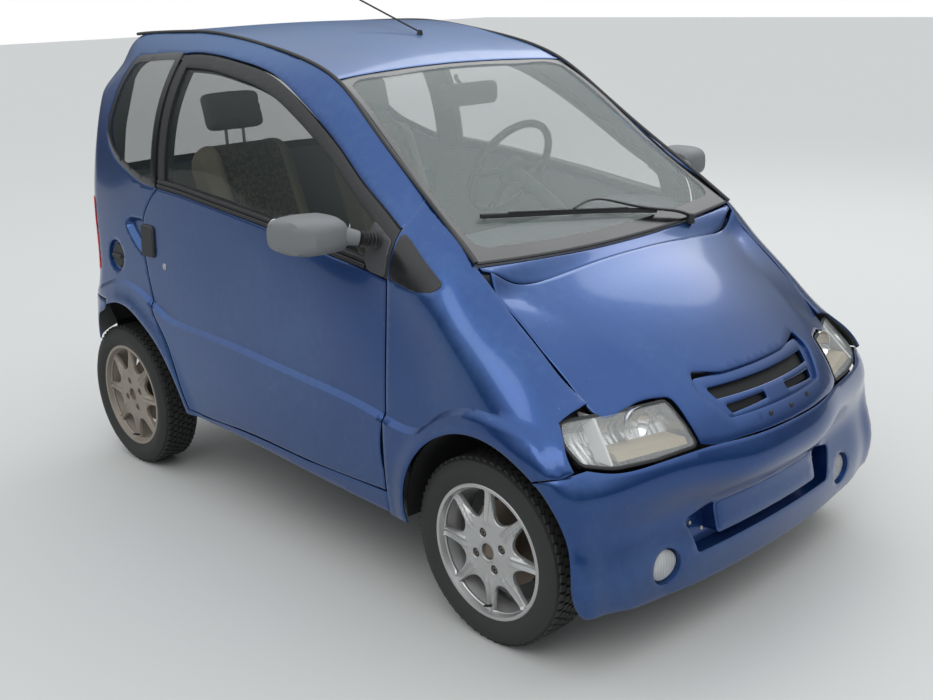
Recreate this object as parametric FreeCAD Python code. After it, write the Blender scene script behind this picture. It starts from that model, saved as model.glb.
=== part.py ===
import FreeCAD, Part
import math
import os

os.makedirs("parts", exist_ok=True)
V = FreeCAD.Vector

# Frame: +X to the nose, +Y to the car's left, +Z up, in mm.
# The origin lies on the floor, in the middle of the length and width.

# Wheels, brakes and steering
FRONT_AXLE_X = 840.0
REAR_AXLE_X = -975.0
TYRE_R = 254.0
AXLE_Z = TYRE_R
TYRE_MID_Y = 610.0
RIM_R = 182.0
RIM_HALF = 61.0
SPOKES = 8
HUB_R = 45.0
DISC_R = 115.0
KING_TOP = V(840, 478, 610)
KING_LOW = V(840, 556, 170)

# Walls and gaps
SIDE_WALL = 50.0
ROOF_WALL = 28.0
SKIN = 16.0
GLASS = 5.0
DOOR_GAP = 5.0
SEAM = 0.3
RUN = 0.3

# Side of the body: half sections across the car at stations along X.
# Columns: x, then (y, z) of the sill, the ledge's lower and upper edge,
# the belt, the top of the side window and the drip line beside the roof.
SIDE_TABLE = [
    (-1340, (640, 300), (655, 612), (645, 634), (615, 1040), (470, 1440), (405, 1500)),
    (-1013, (690, 300), (700, 612), (688, 634), (648, 1040), (500, 1440), (450, 1502)),
    (-597, (695, 300), (705, 612), (692, 634), (668, 1035), (520, 1446), (453, 1512)),
    (-165, (695, 298), (705, 602), (692, 624), (668, 996), (525, 1397), (462, 1464)),
    (82, (695, 285), (705, 587), (692, 609), (668, 972), (545, 1290), (471, 1390)),
    (407, (695, 276), (705, 560), (692, 582), (668, 914), (600, 1081), (512, 1171)),
    (682, (695, 265), (705, 545), (694, 565), (672, 870), (655, 930), (549, 986)),
    (840, (695, 260), (705, 540), (697, 562), (690, 690), (640, 792), (545, 842)),
    (1000, (695, 255), (705, 530), (697, 552), (690, 610), (635, 690), (540, 725)),
    (1150, (680, 250), (690, 520), (680, 542), (672, 590), (610, 630), (510, 650)),
    (1340, (650, 245), (660, 510), (650, 532), (640, 580), (580, 620), (480, 640)),
]
UNDER_Z = 110.0
SIDE_TOP_RISE = (-70.0, 55.0)

# Outline of the whole body in side view at steps across the car.
# Columns: y, then (x, z) of the points below.
# Points: rear bumper bottom and top, tail, belt, rear glass top, spoiler, roof
# rear, roof peak, roof front, screen top and bottom, bonnet rear and middle,
# nose, lamp foot, bumper top, middle, waist, low and bottom.
PROFILE_TABLE = [
    (0, (-1318, 440), (-1320, 600), (-1300, 700), (-1290, 942), (-1270, 1182),
     (-1240, 1377), (-1050, 1512), (-544, 1525), (-185, 1478), (49, 1407),
     (743, 948), (797, 918), (1000, 820), (1205, 678), (1257, 618),
     (1305, 545), (1320, 470), (1246, 372), (1252, 250), (1238, 160)),
    (311, (-1312, 440), (-1312, 600), (-1290, 700), (-1280, 942), (-1258, 1182),
     (-1222, 1377), (-1045, 1507), (-544, 1519), (-185, 1471), (63, 1400),
     (733, 954), (785, 898), (1000, 785), (1165, 676), (1205, 610),
     (1240, 545), (1256, 470), (1203, 362), (1236, 250), (1224, 160)),
    (450, (-1295, 440), (-1290, 600), (-1265, 700), (-1255, 942), (-1230, 1182),
     (-1190, 1377), (-1013, 1500), (-544, 1512), (-185, 1465), (79, 1391),
     (722, 960), (760, 893), (1000, 752), (1110, 662), (1160, 600),
     (1205, 545), (1220, 470), (1180, 355), (1219, 250), (1206, 160)),
    (551, (-1255, 440), (-1245, 600), (-1220, 700), (-1215, 942), (-1185, 1182),
     (-1140, 1377), (-975, 1494), (-544, 1506), (-185, 1459), (92, 1386),
     (711, 967), (731, 932), (1000, 705), (1055, 648), (1115, 595),
     (1180, 545), (1194, 470), (1163, 352), (1209, 250), (1196, 160)),
    (620, (-1205, 440), (-1195, 600), (-1160, 700), (-1165, 942), (-1125, 1182),
     (-1075, 1377), (-940, 1488), (-544, 1500), (-185, 1453), (100, 1382),
     (703, 971), (722, 930), (1000, 700), (1045, 645), (1100, 590),
     (1158, 545), (1172, 470), (1146, 350), (1199, 250), (1184, 160)),
    (680, (-1140, 440), (-1130, 600), (-1085, 700), (-1090, 942), (-1040, 1182),
     (-990, 1377), (-905, 1482), (-544, 1494), (-185, 1447), (105, 1378),
     (700, 975), (718, 930), (1000, 695), (1040, 640), (1080, 582),
     (1110, 545), (1122, 470), (1113, 350), (1181, 250), (1160, 160)),
    (740, (-1040, 440), (-1030, 600), (-990, 700), (-1000, 942), (-940, 1182),
     (-890, 1377), (-860, 1476), (-544, 1488), (-185, 1441), (110, 1374),
     (698, 979), (714, 930), (980, 690), (1000, 635), (1020, 575),
     (1030, 545), (1040, 470), (1036, 350), (1080, 250), (1060, 160)),
]


def box(x0, x1, y0, y1, z0, z1):
    return Part.makeBox(x1 - x0, y1 - y0, z1 - z0, V(x0, y0, z0))


def rod_y(x, z, r, y0, y1):
    return Part.makeCylinder(r, y1 - y0, V(x, y0, z), V(0, 1, 0))


def rod(a, b, r):
    return Part.makeCylinder(r, (b - a).Length, a, b - a)


def prism_y(points, y0, y1):
    corners = [V(x, y0, z) for x, z in points]
    face = Part.Face(Part.makePolygon(corners + [corners[0]]))
    return face.extrude(V(0, y1 - y0, 0))


def prism_z(points, z0, z1):
    corners = [V(x, y, z0) for x, y in points]
    face = Part.Face(Part.makePolygon(corners + [corners[0]]))
    return face.extrude(V(0, 0, z1 - z0))


def prism_x(points, x0, x1):
    corners = [V(x0, y, z) for y, z in points]
    face = Part.Face(Part.makePolygon(corners + [corners[0]]))
    return face.extrude(V(x1 - x0, 0, 0))


def mirror(shape):
    return shape.mirror(V(0, 0, 0), V(0, 1, 0))


def both(shape):
    return Part.makeCompound([shape, mirror(shape)])


def inset(points, d):
    # Closed outline moved inwards by d with mitred corners.
    area = 0.0
    n = len(points)
    for i in range(n):
        a, b = points[i], points[(i + 1) % n]
        area += a[0] * b[1] - b[0] * a[1]
    turn = 1.0 if area > 0 else -1.0
    moved = []
    for i in range(n):
        p, q, r = points[i - 1], points[i], points[(i + 1) % n]
        ux, uy = q[0] - p[0], q[1] - p[1]
        vx, vy = r[0] - q[0], r[1] - q[1]
        lu, lv = math.hypot(ux, uy), math.hypot(vx, vy)
        nx = -turn * (uy / lu + vy / lv)
        ny = turn * (ux / lu + vx / lv)
        ln = math.hypot(nx, ny)
        cos_half = ln / 2.0
        k = d / (ln * cos_half) if ln > 1e-6 else 0.0
        moved.append((q[0] + nx * k, q[1] + ny * k))
    return moved


def sides(d):
    sections = []
    for row in SIDE_TABLE:
        x, half = row[0], list(row[1:])
        top = half[-1]
        peak = (top[0] + SIDE_TOP_RISE[0], top[1] + SIDE_TOP_RISE[1])
        right = [(half[0][0] - 12, UNDER_Z)] + half + [peak]
        left = [(-y, z) for y, z in reversed(right)]
        outline = inset(right + left, d) if d else right + left
        corners = [V(x, y, z) for y, z in outline]
        sections.append(Part.makePolygon(corners + [corners[0]]))
    return Part.makeLoft(sections, True, False)


def profile(d):
    rows = [(-r[0],) + tuple(r[1:]) for r in reversed(PROFILE_TABLE[1:])]
    rows = rows + PROFILE_TABLE
    sections = []
    for row in rows:
        y, line = row[0], list(row[1:])
        line = [(line[0][0], UNDER_Z)] + line + [(line[-1][0] - 10, UNDER_Z)]
        outline = inset(line, d) if d else line
        corners = [V(x, y, z) for x, z in outline]
        sections.append(Part.makePolygon(corners + [corners[0]]))
    return Part.makeLoft(sections, True, False)


# Outlines of the panels. Side views are (x, z), plan views are (x, y),
# front and rear views are (y, z).
DOOR = [
    (492, 333), (492, 1035), (407, 1081), (294, 1145), (216, 1199), (115, 1264),
    (-10, 1334), (-153, 1397), (-322, 1431), (-441, 1445), (-603, 1449), (-640, 1446),
    (-635, 1035), (-686, 992), (-724, 952), (-736, 910), (-728, 800), (-693, 662),
    (-680, 615), (-560, 590), (-485, 520), (-445, 400), (-432, 352),
]
HANDLE = [
    (-722, 805), (-670, 805), (-662, 813), (-664, 900), (-674, 912), (-726, 912),
]
SCOOP = [(-745, 805), (-790, 835), (-831, 870), (-862, 903), (-814, 923), (-745, 925)]
FUEL_CAP_X, FUEL_CAP_Z, FUEL_CAP_R, FUEL_WELL_R = -932.0, 777.0, 42.0, 57.0
TAIL_LAMP = [(-1100, 963), (-1072, 824), (-1066, 700), (-1400, 700), (-1400, 963)]
TAIL_LAMP_IN_Y = 598.0
DOOR_WINDOW = [
    (398, 935), (398, 1052), (294, 1113), (216, 1166), (115, 1230), (-10, 1299),
    (-153, 1363), (-322, 1400), (-441, 1415), (-597, 1418), (-600, 1062), (-380, 1040),
    (-165, 1020), (35, 998), (263, 967),
]
MIRROR_PLATE = [(404, 925), (404, 1060), (486, 1018), (486, 915)]
QUARTER_WINDOW = [
    (-680, 1060), (-690, 1440), (-940, 1425), (-1000, 1330), (-1015, 1232),
    (-990, 1155), (-850, 1085),
]
CORNER_WINDOW = [(506, 925), (506, 1010), (672, 925), (640, 905)]
FRONT_ARCH_X, FRONT_ARCH_Z, FRONT_ARCH_R = 860.0, 296.0, 290.0
REAR_ARCH = [
    (-1107, 462), (-1054, 568), (-935, 612), (-852, 620), (-767, 579), (-685, 530),
    (-611, 457), (-556, 369), (-523, 312), (-523, 100), (-1400, 100), (-1400, 445),
]
REAR_FLARE = [
    (-1120, 600), (-1015, 645), (-963, 678), (-888, 697), (-787, 689), (-695, 653),
    (-605, 617), (-520, 560), (-480, 450), (-462, 312), (-523, 312), (-1100, 462),
]
REAR_WELL = [
    (-1178, 480), (-1120, 585), (-1040, 625), (-935, 645), (-850, 650), (-750, 612),
    (-668, 562), (-592, 487), (-538, 395), (-506, 310), (-506, 296), (-1178, 296),
]
ROOF_SIDE = [(86, 467), (-185, 458), (-564, 451), (-735, 446), (-1010, 446)]
SCREEN_SIDE = [(718, 545), (407, 508), (86.3, 467)]
ROOF_FRONT_X = 66.0
BONNET_SIDE = [(731, 544), (917, 541), (1075, 527), (1400, 527)]
FENDER_TOP_SIDE = [(x, y + DOOR_GAP) for x, y in BONNET_SIDE]
LAMP = [(352, 670), (530, 654), (640, 645), (665, 600), (600, 550), (318, 550)]
# Grille recess and slots, bumper slot (y, z), and the lamps' round centres
GRILLE = [(-278, 684), (-206, 592), (206, 592), (278, 684)]
GRILLE_DEPTH = 8.0
GRILLE_SLOTS = [
    [(-222, 663), (-208, 637), (208, 637), (222, 663)],
    [(-196, 622), (-186, 602), (-46, 610), (-46, 625)],
    [(196, 622), (186, 602), (46, 610), (46, 625)],
]
BUMPER_SLOT = [
    (-343, 350), (-236, 372), (-236, 286), (236, 286), (236, 372), (343, 350),
    (322, 300), (309, 256), (-309, 256), (-322, 300),
]
FOG_Y, FOG_Z, FOG_R, FOG_WELL_R = 418.0, 252.0, 40.0, 48.0
LENS = 5.0
# Bowls behind each headlamp's lens: x of the back, y, z, back radius, front radius.
LAMP_BOWLS = [(1105, 425, 610, 20, 56), (1030, 590, 602, 14, 36)]
HATCH = [(428, 1520), (452, 1440), (500, 1377), (545, 1182), (560, 942), (560, 625)]
HATCH_WINDOW = [(380, 1420), (420, 1300), (460, 1182), (478, 1010)]
SILL_LINE = [(-1400, 300), (-523, 300), (602, 257), (1400, 240)]
FLOOR_RAIL = [
    (-1180, 330), (-700, 330), (-600, 190), (1110, 190), (1110, 250), (-570, 250),
    (-670, 390), (-1180, 390),
]

BUMPER_TOP_Z = 545.0
REAR_BUMPER_TOP_Z = 612.0
SEAM_X = 497.0


def side_cut(points, y0=300.0, y1=900.0):
    return prism_y(points, y0, y1)


def plan_cut(side):
    # Prism over a plan outline given by its left edge.
    right = [(x, -y) for x, y in reversed(side)]
    return prism_z(side + right, 0, 1800)


def back_cut(points, grow=0.0):
    # Prism over a rear-view outline given by its left edge.
    outline = points + [(-y, z) for y, z in reversed(points)]
    if grow:
        outline = inset(outline, -grow)
    return prism_x(outline, -1400, -960)


def biggest(shape, count=1):
    solids = sorted(shape.Solids, key=lambda s: -s.Volume)
    return Part.makeCompound(solids[:count])


def ring(points):
    # Turned piece about the wheel's axis from (y, radius) points.
    corners = [V(0, y, r) for y, r in points]
    face = Part.Face(Part.makePolygon(corners + [corners[0]]))
    return face.revolve(V(0, 0, 0), V(0, 1, 0), 360)


side_outer = sides(0)
side_inner = sides(SIDE_WALL)
side_skin = sides(SKIN)
prof_outer = profile(0)
prof_inner = profile(ROOF_WALL)
prof_skin = profile(SKIN)
hull = side_outer.common(prof_outer)
room = side_inner.common(prof_inner)
skin_room = side_skin.common(prof_skin)
shell = hull.cut(room)
skin = hull.cut(skin_room)
roof_layer = prof_outer.cut(prof_inner)
skin_layer = prof_outer.cut(prof_skin)

# Wheel arches and the line under the sills
arch_x0 = FRONT_ARCH_X - FRONT_ARCH_R
arch_foot = [
    (arch_x0, FRONT_ARCH_Z), (FRONT_ARCH_X + FRONT_ARCH_R, FRONT_ARCH_Z),
    (1190, 242), (1190, 60), (arch_x0, 60),
]
front_arch = rod_y(FRONT_ARCH_X, FRONT_ARCH_Z, FRONT_ARCH_R, 560, 900)
front_arch = front_arch.fuse(prism_y(arch_foot, 560, 900))
rear_arch = prism_y(REAR_ARCH, 560, 900)
rear_tyre_room = rod_y(REAR_AXLE_X, AXLE_Z, TYRE_R + 20, 500, 692)
below_sill = prism_y([(-1400, 0)] + SILL_LINE + [(1400, 0)], 0, 900)

# Door hinges: barrels in the gap at the door's front edge
DOOR_AXIS_X = 493.0
DOOR_AXIS_Y = 703.0
BARREL_R = 6.0
PIN_R = 3.0
BARREL_H = 18.0
DOOR_HINGE_Z = (390.0, 500.0)
body_barrels = []
door_barrels = []
body_room = []
door_room = []
door_bores = []
for z in DOOR_HINGE_Z:
    low = V(DOOR_AXIS_X, DOOR_AXIS_Y, z)
    high = V(DOOR_AXIS_X, DOOR_AXIS_Y, z + BARREL_H + RUN)
    up = V(0, 0, 1)
    pin = Part.makeCylinder(PIN_R, 2 * BARREL_H, low, up)
    low_barrel = Part.makeCylinder(BARREL_R, BARREL_H, low, up)
    leaf = box(DOOR_AXIS_X, DOOR_AXIS_X + 16, DOOR_AXIS_Y - 12, DOOR_AXIS_Y - 3, z, z + BARREL_H)
    body_barrels.append(low_barrel.fuse(pin).fuse(leaf))
    high_barrel = Part.makeCylinder(BARREL_R, BARREL_H, high, up)
    leaf = box(DOOR_AXIS_X - 14, DOOR_AXIS_X, DOOR_AXIS_Y - 12, DOOR_AXIS_Y - 3, high.z, high.z + BARREL_H)
    door_bores.append(Part.makeCylinder(PIN_R + RUN, BARREL_H, high, up))
    door_barrels.append(high_barrel.fuse(leaf))
    door_room.append(Part.makeCylinder(BARREL_R + 2, BARREL_H + 2 * RUN, low - V(0, 0, RUN), up))
    body_room.append(Part.makeCylinder(BARREL_R + 2, BARREL_H + 2 * RUN, high - V(0, 0, RUN), up))

# Roof and windscreen
roof_cut = plan_cut([(ROOF_FRONT_X, 0)] + ROOF_SIDE + [(-1040, 0)])
roof = roof_layer.common(roof_cut).common(box(-1100, 100, -500, 500, 1350, 1600))
screen_cut = plan_cut([(733, 0)] + SCREEN_SIDE + [(ROOF_FRONT_X + SEAM, 0)])
profile_2 = profile(2)
profile_2_lens = profile(2 + LENS)
screen_layer = profile_2.cut(profile_2_lens)
windscreen = screen_layer.common(screen_cut).common(box(0, 760, -600, 600, 900, 1450))

# Bonnet, and the scuttle panel under the wiper
BONNET_AXIS_X = 735.0
BONNET_AXIS_Z = 936.0
bonnet_cut = plan_cut([(792, 0)] + BONNET_SIDE + [(1400, 0)])
bonnet = skin_layer.common(bonnet_cut)
bonnet = bonnet.common(box(700, 1400, -600, 600, BUMPER_TOP_Z + DOOR_GAP, 1000))
lamp_room = prism_x(inset(LAMP, -DOOR_GAP), 960, 1400)
bonnet = bonnet.cut(lamp_room).cut(mirror(lamp_room))
recess = prism_x(GRILLE, 1100, 1400)
grille_back = bonnet.common(recess).common(profile(GRILLE_DEPTH))
bonnet = bonnet.cut(recess).fuse(grille_back)
for grille_slot in GRILLE_SLOTS:
    bonnet = bonnet.cut(prism_x(grille_slot, 1100, 1400))
bonnet = biggest(bonnet)
scuttle_back = [(736, 0), (719, 546), (725, 546), (787, 0), (725, -546), (719, -546)]
scuttle_top_form = profile(10)
scuttle = scuttle_top_form.common(prism_z(scuttle_back, 800, 1000)).cut(profile(30))
scuttle = scuttle.common(box(700, 790, -546, 546, 820, 1000))

# Doors, their windows and the mirror plates
door_block = side_cut(DOOR)
door_hole = side_cut(inset(DOOR, -DOOR_GAP))
door = shell.common(door_block).cut(side_cut(DOOR_WINDOW)).cut(side_cut(inset(MIRROR_PLATE, -SEAM)))
door = biggest(door)
for room_cut, barrel, bore in zip(door_room, door_barrels, door_bores):
    door = door.cut(room_cut).fuse(barrel).cut(bore)
handle = biggest(side_outer.cut(side_inner).common(side_cut(HANDLE)))
handle = handle.fuse(prism_y(HANDLE, 672, 694))
door = biggest(door.cut(side_cut(inset(HANDLE, -SEAM))))
door_glass = sides(18).cut(sides(18 + GLASS)).common(side_cut(inset(DOOR_WINDOW, SEAM)))
side_2 = sides(2)
plate_layer = side_2.cut(sides(24))
mirror_plate = biggest(plate_layer.common(side_cut(MIRROR_PLATE)))

# Side frames with pillars, sills and quarters
FLARE_Y = 682.0
flare_front = Part.makeCone(352, 300, 30, V(FRONT_ARCH_X, FLARE_Y, FRONT_ARCH_Z), V(0, 1, 0))
flare_front = flare_front.common(box(510, 1052, 600, 720, 300, 700))
flare_rear = prism_y(REAR_FLARE, 660, 708)
half = box(-1400, SEAM_X, 300, 800, 150, 1600)
hatch_hole = back_cut(HATCH, DOOR_GAP)
frame = shell.common(half).cut(roof_cut).cut(screen_cut)
frame = frame.fuse(flare_rear).cut(rear_arch).cut(below_sill).cut(rear_tyre_room)
frame = frame.cut(side_cut(QUARTER_WINDOW)).cut(door_hole).cut(hatch_hole)
frame = frame.cut(box(-1400, -1000, 0, 900, 0, REAR_BUMPER_TOP_Z + SEAM)).cut(front_arch)
tail_cut = prism_y(TAIL_LAMP, TAIL_LAMP_IN_Y, 800)
tail_lamp = biggest(shell.common(tail_cut))
tail_room = prism_y(inset(TAIL_LAMP, -SEAM), TAIL_LAMP_IN_Y - SEAM, 800)
frame = frame.cut(tail_room).cut(prism_y(SCOOP, 656, 720))
frame = biggest(frame)
fuel_well = rod_y(FUEL_CAP_X, FUEL_CAP_Z, FUEL_WELL_R, 662, 720)
frame_right = mirror(frame.cut(fuel_well))
fuel_cap = mirror(rod_y(FUEL_CAP_X, FUEL_CAP_Z, FUEL_CAP_R, 662 + SEAM, 682))
quarter_glass = sides(8).cut(sides(8 + GLASS)).common(side_cut(inset(QUARTER_WINDOW, SEAM)))
quarter_glass = biggest(quarter_glass.common(profile(8)))
corner_glass = biggest(sides(6).cut(sides(6 + GLASS)).common(side_cut(inset(CORNER_WINDOW, SEAM))))

# Front fenders, headlamps and bumpers
lamp_cut = prism_x(LAMP, 960, 1400)
lamp_hole = prism_x(inset(LAMP, -SEAM), 960, 1400)
seam_line = [(1032, 518), (1121, BUMPER_TOP_Z), (1400, BUMPER_TOP_Z), (1400, 0), (1032, 0)]
fender = skin.common(box(SEAM_X + SEAM, 1400, 300, 800, 150, 1100)).fuse(flare_front)
fender = fender.cut(door_hole).cut(screen_cut).cut(plan_cut([(792, 0)] + FENDER_TOP_SIDE + [(1400, 0)]))
fender = fender.cut(prism_z([(700, -546.3), (700, 546.3), (800, 546.3), (800, -546.3)], 0, 1800))
fender = fender.cut(front_arch).cut(below_sill).cut(lamp_hole)
fender = fender.cut(prism_y(inset(seam_line, -SEAM), 0, 900)).cut(side_cut(CORNER_WINDOW))
fender = biggest(fender)
for room_cut, barrel in zip(body_room, body_barrels):
    fender = fender.cut(room_cut).fuse(barrel)
seam_line = [(1032, 518), (1121, BUMPER_TOP_Z), (1400, BUMPER_TOP_Z), (1400, 160), (1032, 160)]
bumper = skin.common(prism_y(seam_line, -900, 900)).cut(front_arch).cut(mirror(front_arch))
bumper = bumper.cut(prism_x(BUMPER_SLOT, 1100, 1400))
fog_lamps = []
for side in (-1, 1):
    low = V(1100, side * FOG_Y, FOG_Z)
    bumper = bumper.cut(Part.makeCylinder(FOG_WELL_R, 300, low, V(1, 0, 0)))
    fog_lamps.append(Part.makeCylinder(FOG_WELL_R - SEAM, 18, V(1188, side * FOG_Y, FOG_Z), V(1, 0, 0)))
bumper = biggest(bumper)
rear_bumper = skin.common(box(-1400, -1000 - SEAM, -900, 900, 446, REAR_BUMPER_TOP_Z))
rear_bumper = rear_bumper.cut(rear_arch).cut(mirror(rear_arch))
rear_bumper = biggest(rear_bumper.cut(rear_tyre_room).cut(mirror(rear_tyre_room)))
lens_out = side_2.common(profile_2)
lens_in = sides(2 + LENS).common(profile_2_lens)
headlamp = biggest(lens_out.cut(lens_in).common(lamp_cut))
bowl_plan = [(1002, 700), (1002, 655), (1125, 318), (1400, 318), (1400, 700)]
lamp_bowl = sides(LENS + 4).common(profile(LENS + 4)).common(lamp_cut)
lamp_bowl = lamp_bowl.common(prism_z(bowl_plan, 500, 720))
for x, y, z, back_r, front_r in LAMP_BOWLS:
    lamp_bowl = lamp_bowl.cut(Part.makeCone(back_r, front_r, 300.0 * front_r / 100.0, V(x, y, z), V(1, 0, 0)))
lamp_bowl = biggest(lamp_bowl)

# Hatch and its window, with hinges standing on the roof's rear edge
HATCH_AXIS_X = -1044.0
HATCH_AXIS_Z = 1522.0
hatch = roof_layer.common(back_cut(HATCH)).common(side_outer)
hatch = hatch.cut(box(-1045, -900, -900, 900, 0, 1700)).cut(back_cut(HATCH_WINDOW))
hatch = biggest(hatch)
hatch_glass = profile(6).cut(profile(6 + GLASS)).common(back_cut(HATCH_WINDOW, -SEAM))
hatch_glass = biggest(hatch_glass.common(box(-1400, -1000, -600, 600, 1010, 1420)))
for side in (-1, 1):
    base = V(HATCH_AXIS_X, side * 290, HATCH_AXIS_Z)
    along = V(0, side, 0)
    pin = Part.makeCylinder(3, 40, base, along)
    inner = Part.makeCylinder(7, 20, base, along)
    y0, y1 = sorted((side * 290, side * 310))
    foot = box(HATCH_AXIS_X, -1005, y0, y1, 1500, 1516)
    roof = roof.fuse(inner).fuse(pin).fuse(foot)
    start = base + along * 20.3
    outer = Part.makeCylinder(7, 20, start, along)
    y0, y1 = sorted((side * 310.3, side * 330.3))
    foot = box(-1085, HATCH_AXIS_X, y0, y1, 1492, 1518).cut(prof_inner)
    hatch = hatch.fuse(outer).fuse(foot).cut(Part.makeCylinder(3.3, 20, start, along))
    roof = roof.cut(Part.makeCylinder(9, 20.6, start - along * 0.0, along).cut(pin))

# Wheel: tyre, rim with star spokes, brake disc and hub.
# Sections are (y, radius) points, y positive outwards.
TYRE_SECTION = [
    (-59.7, RIM_R + SEAM), (-72, 220), (-54, TYRE_R), (54, TYRE_R), (72, 220), (59.7, RIM_R + SEAM),
]
SPOKE_HALF_W = 22.0
tyre_ring = ring(TYRE_SECTION)
barrel = ring([(-RIM_HALF, RIM_R), (RIM_HALF, RIM_R), (RIM_HALF, RIM_R - 9), (-RIM_HALF, RIM_R - 12)])
face_disc = ring([(34, 19.5), (34, 62), (36, RIM_R - 5), (56, RIM_R - 5), (51, 62), (49, 19.5)])
slot_tip_r = RIM_R - 18
slot_tip_w = slot_tip_r * math.tan(math.pi / SPOKES) - SPOKE_HALF_W
slot_plan = [(-4, 66), (-slot_tip_w, slot_tip_r), (slot_tip_w, slot_tip_r), (4, 66)]
slot = Part.makePolygon([V(x, 0, r) for x, r in slot_plan + slot_plan[:1]])
slot = Part.Face(slot).extrude(V(0, 100, 0))
for i in range(SPOKES):
    face_disc = face_disc.cut(slot.rotated(V(0, 0, 0), V(0, 1, 0), 360.0 / SPOKES * i))
rim_all = barrel.fuse(face_disc)
SPIGOT_R = 20.0
HUB_FACE_Y = 33.7
hub = ring([(-90, 0), (-90, SPIGOT_R), (-30, SPIGOT_R), (-30, DISC_R), (-20, DISC_R),
            (-20, HUB_R), (HUB_FACE_Y, HUB_R), (HUB_FACE_Y, 19), (46, 19), (46, 0)])


def wheel_at(shape, x):
    return shape.translated(V(x, TYRE_MID_Y, AXLE_Z))


# Knuckle with the strut's lower tube, its arm and its ball boss
king = KING_TOP - KING_LOW
king.normalize()
STRUT_LOW = V(840, 506, 330)
STRUT_TOP = KING_LOW + king * 425
BALL_R = 8.0
knuckle = box(805, 875, 510, 552, 195, 345).fuse(rod(STRUT_LOW, STRUT_TOP, 20))
knuckle = knuckle.fuse(box(800, 880, 486, 552, 318, 345)).fuse(box(715, 810, 515, 540, 200, 222))
knuckle = knuckle.fuse(rod(KING_LOW - king * 14, KING_LOW + king * 40, 17))
knuckle = knuckle.fuse(rod(STRUT_TOP, STRUT_TOP + king * 30, 9))
knuckle = knuckle.cut(rod_y(FRONT_AXLE_X, AXLE_Z, SPIGOT_R + RUN, 400, 600))
knuckle = knuckle.cut(rod(KING_LOW - king * 20, KING_LOW + king * 30, BALL_R + RUN))

# Chassis: rails, cross members, strut towers and the engine's mounts
chassis = prism_y(FLOOR_RAIL, 270, 330)
tower_seat = STRUT_TOP + king * 6
tower = Part.makeCylinder(48, 16, tower_seat, king)
tower = tower.fuse(box(800, 880, 330, 500, tower_seat.z + 2, tower_seat.z + 16))
tower = tower.fuse(box(800, 880, 300, 330, 240, tower_seat.z + 16))
tower = tower.cut(rod(STRUT_TOP, STRUT_TOP + king * 40, 9 + RUN))
SHAFT_R = 11.0
SHAFT_ROOM_R = 18.0
shaft_room = rod_y(FRONT_AXLE_X, AXLE_Z, SHAFT_ROOM_R, 260, 340)
chassis = chassis.fuse(tower).cut(shaft_room)
chassis = chassis.fuse(mirror(chassis))
for x0, x1, z0, z1 in ((1060, 1110, 190, 250), (560, 610, 190, 250), (-560, -510, 190, 250), (-1180, -1130, 330, 390)):
    chassis = chassis.fuse(box(x0, x1, -300, 300, z0, z1))
ARM_END_Y = KING_LOW.y - 4
arm_end = [(858, ARM_END_Y - 12), (858, ARM_END_Y + 12), (822, ARM_END_Y + 12), (822, ARM_END_Y - 12)]
arm_front = [(715, 330.3), (745, 330.3)] + arm_end
arm_rear = [(965, 330.3), (935, 330.3)] + arm_end[3:] + arm_end[2:3] + arm_end[1:2] + arm_end[:1]
arm = prism_z(arm_front, 128, 146).fuse(prism_z(arm_rear, 128, 146))
for x0, x1 in ((712, 748), (932, 968)):
    arm = arm.fuse(box(x0, x1, 330.3, 352, 128, 235))
arm = arm.fuse(rod(KING_LOW - king * 32, KING_LOW + king * 26, BALL_R))

# Rear axle beam on trailing arms, with bearings for the hubs
rear_axle = rod_y(REAR_AXLE_X, AXLE_Z, 30, -538, 538)
for side in (-1, 1):
    y0, y1 = sorted((side * 400, side * 440))
    rear_axle = rear_axle.fuse(box(-1010, -545, y0, y1, 228, 268))
    y0, y1 = sorted((side * 330.3, side * 440))
    rear_axle = rear_axle.fuse(box(-585, -545, y0, y1, 228, 262))
    post_y0, post_y1 = sorted((side * 345, side * 385))
    rear_axle = rear_axle.fuse(box(-1000, -950, post_y0, post_y1, 250, 399.7))
rear_axle = rear_axle.cut(rod_y(REAR_AXLE_X, AXLE_Z, SPIGOT_R + RUN, 515, 560))
rear_axle = rear_axle.cut(rod_y(REAR_AXLE_X, AXLE_Z, SPIGOT_R + RUN, -560, -515))

engine = box(720, 1040, -240, 240, 225, 600)
engine = engine.fuse(box(760, 800, -269.7, 269.7, 200, 245)).fuse(box(960, 1000, -269.7, 269.7, 200, 245))

# Floor, firewall and wheel wells
FLOOR_Z = 262.0
FLOOR_T = 28.0
BOOT_Z = 400.0
side_inner_seam = sides(SIDE_WALL + SEAM)
floor = box(-640, 540, -650, 650, FLOOR_Z, FLOOR_Z + FLOOR_T)
floor = floor.cut(box(-700, -495, 400, 700, 200, 330)).cut(box(-700, -495, -700, -400, 200, 330))
floor = floor.fuse(box(-640, -620, -438, 438, FLOOR_Z, BOOT_Z + 20))
floor = floor.fuse(box(-1240, -620, -438, 438, BOOT_Z, BOOT_Z + 20))
floor = floor.fuse(box(526, 540, -650, 650, FLOOR_Z, 600))
floor = floor.cut(box(-650, -610, 390, 450, 200, 275)).cut(box(-650, -610, -450, -390, 200, 275))
floor = floor.common(side_inner_seam)
floor = floor.cut(prism_y(inset(FLOOR_RAIL, -SEAM), 269.7, 330.3)).cut(prism_y(inset(FLOOR_RAIL, -SEAM), -330.3, -269.7))
inside = sides(SKIN + 4).common(profile(SKIN + 4))
liner = rod_y(850, 275, 306, 412, FLARE_Y - SEAM).cut(rod_y(850, 275, 302, 416, 700))
liner = liner.cut(box(400, 1400, 300, 800, 0, 262)).cut(box(770, 910, 330, 530, 0, 1000))
liner = biggest(liner.common(inside))
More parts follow.
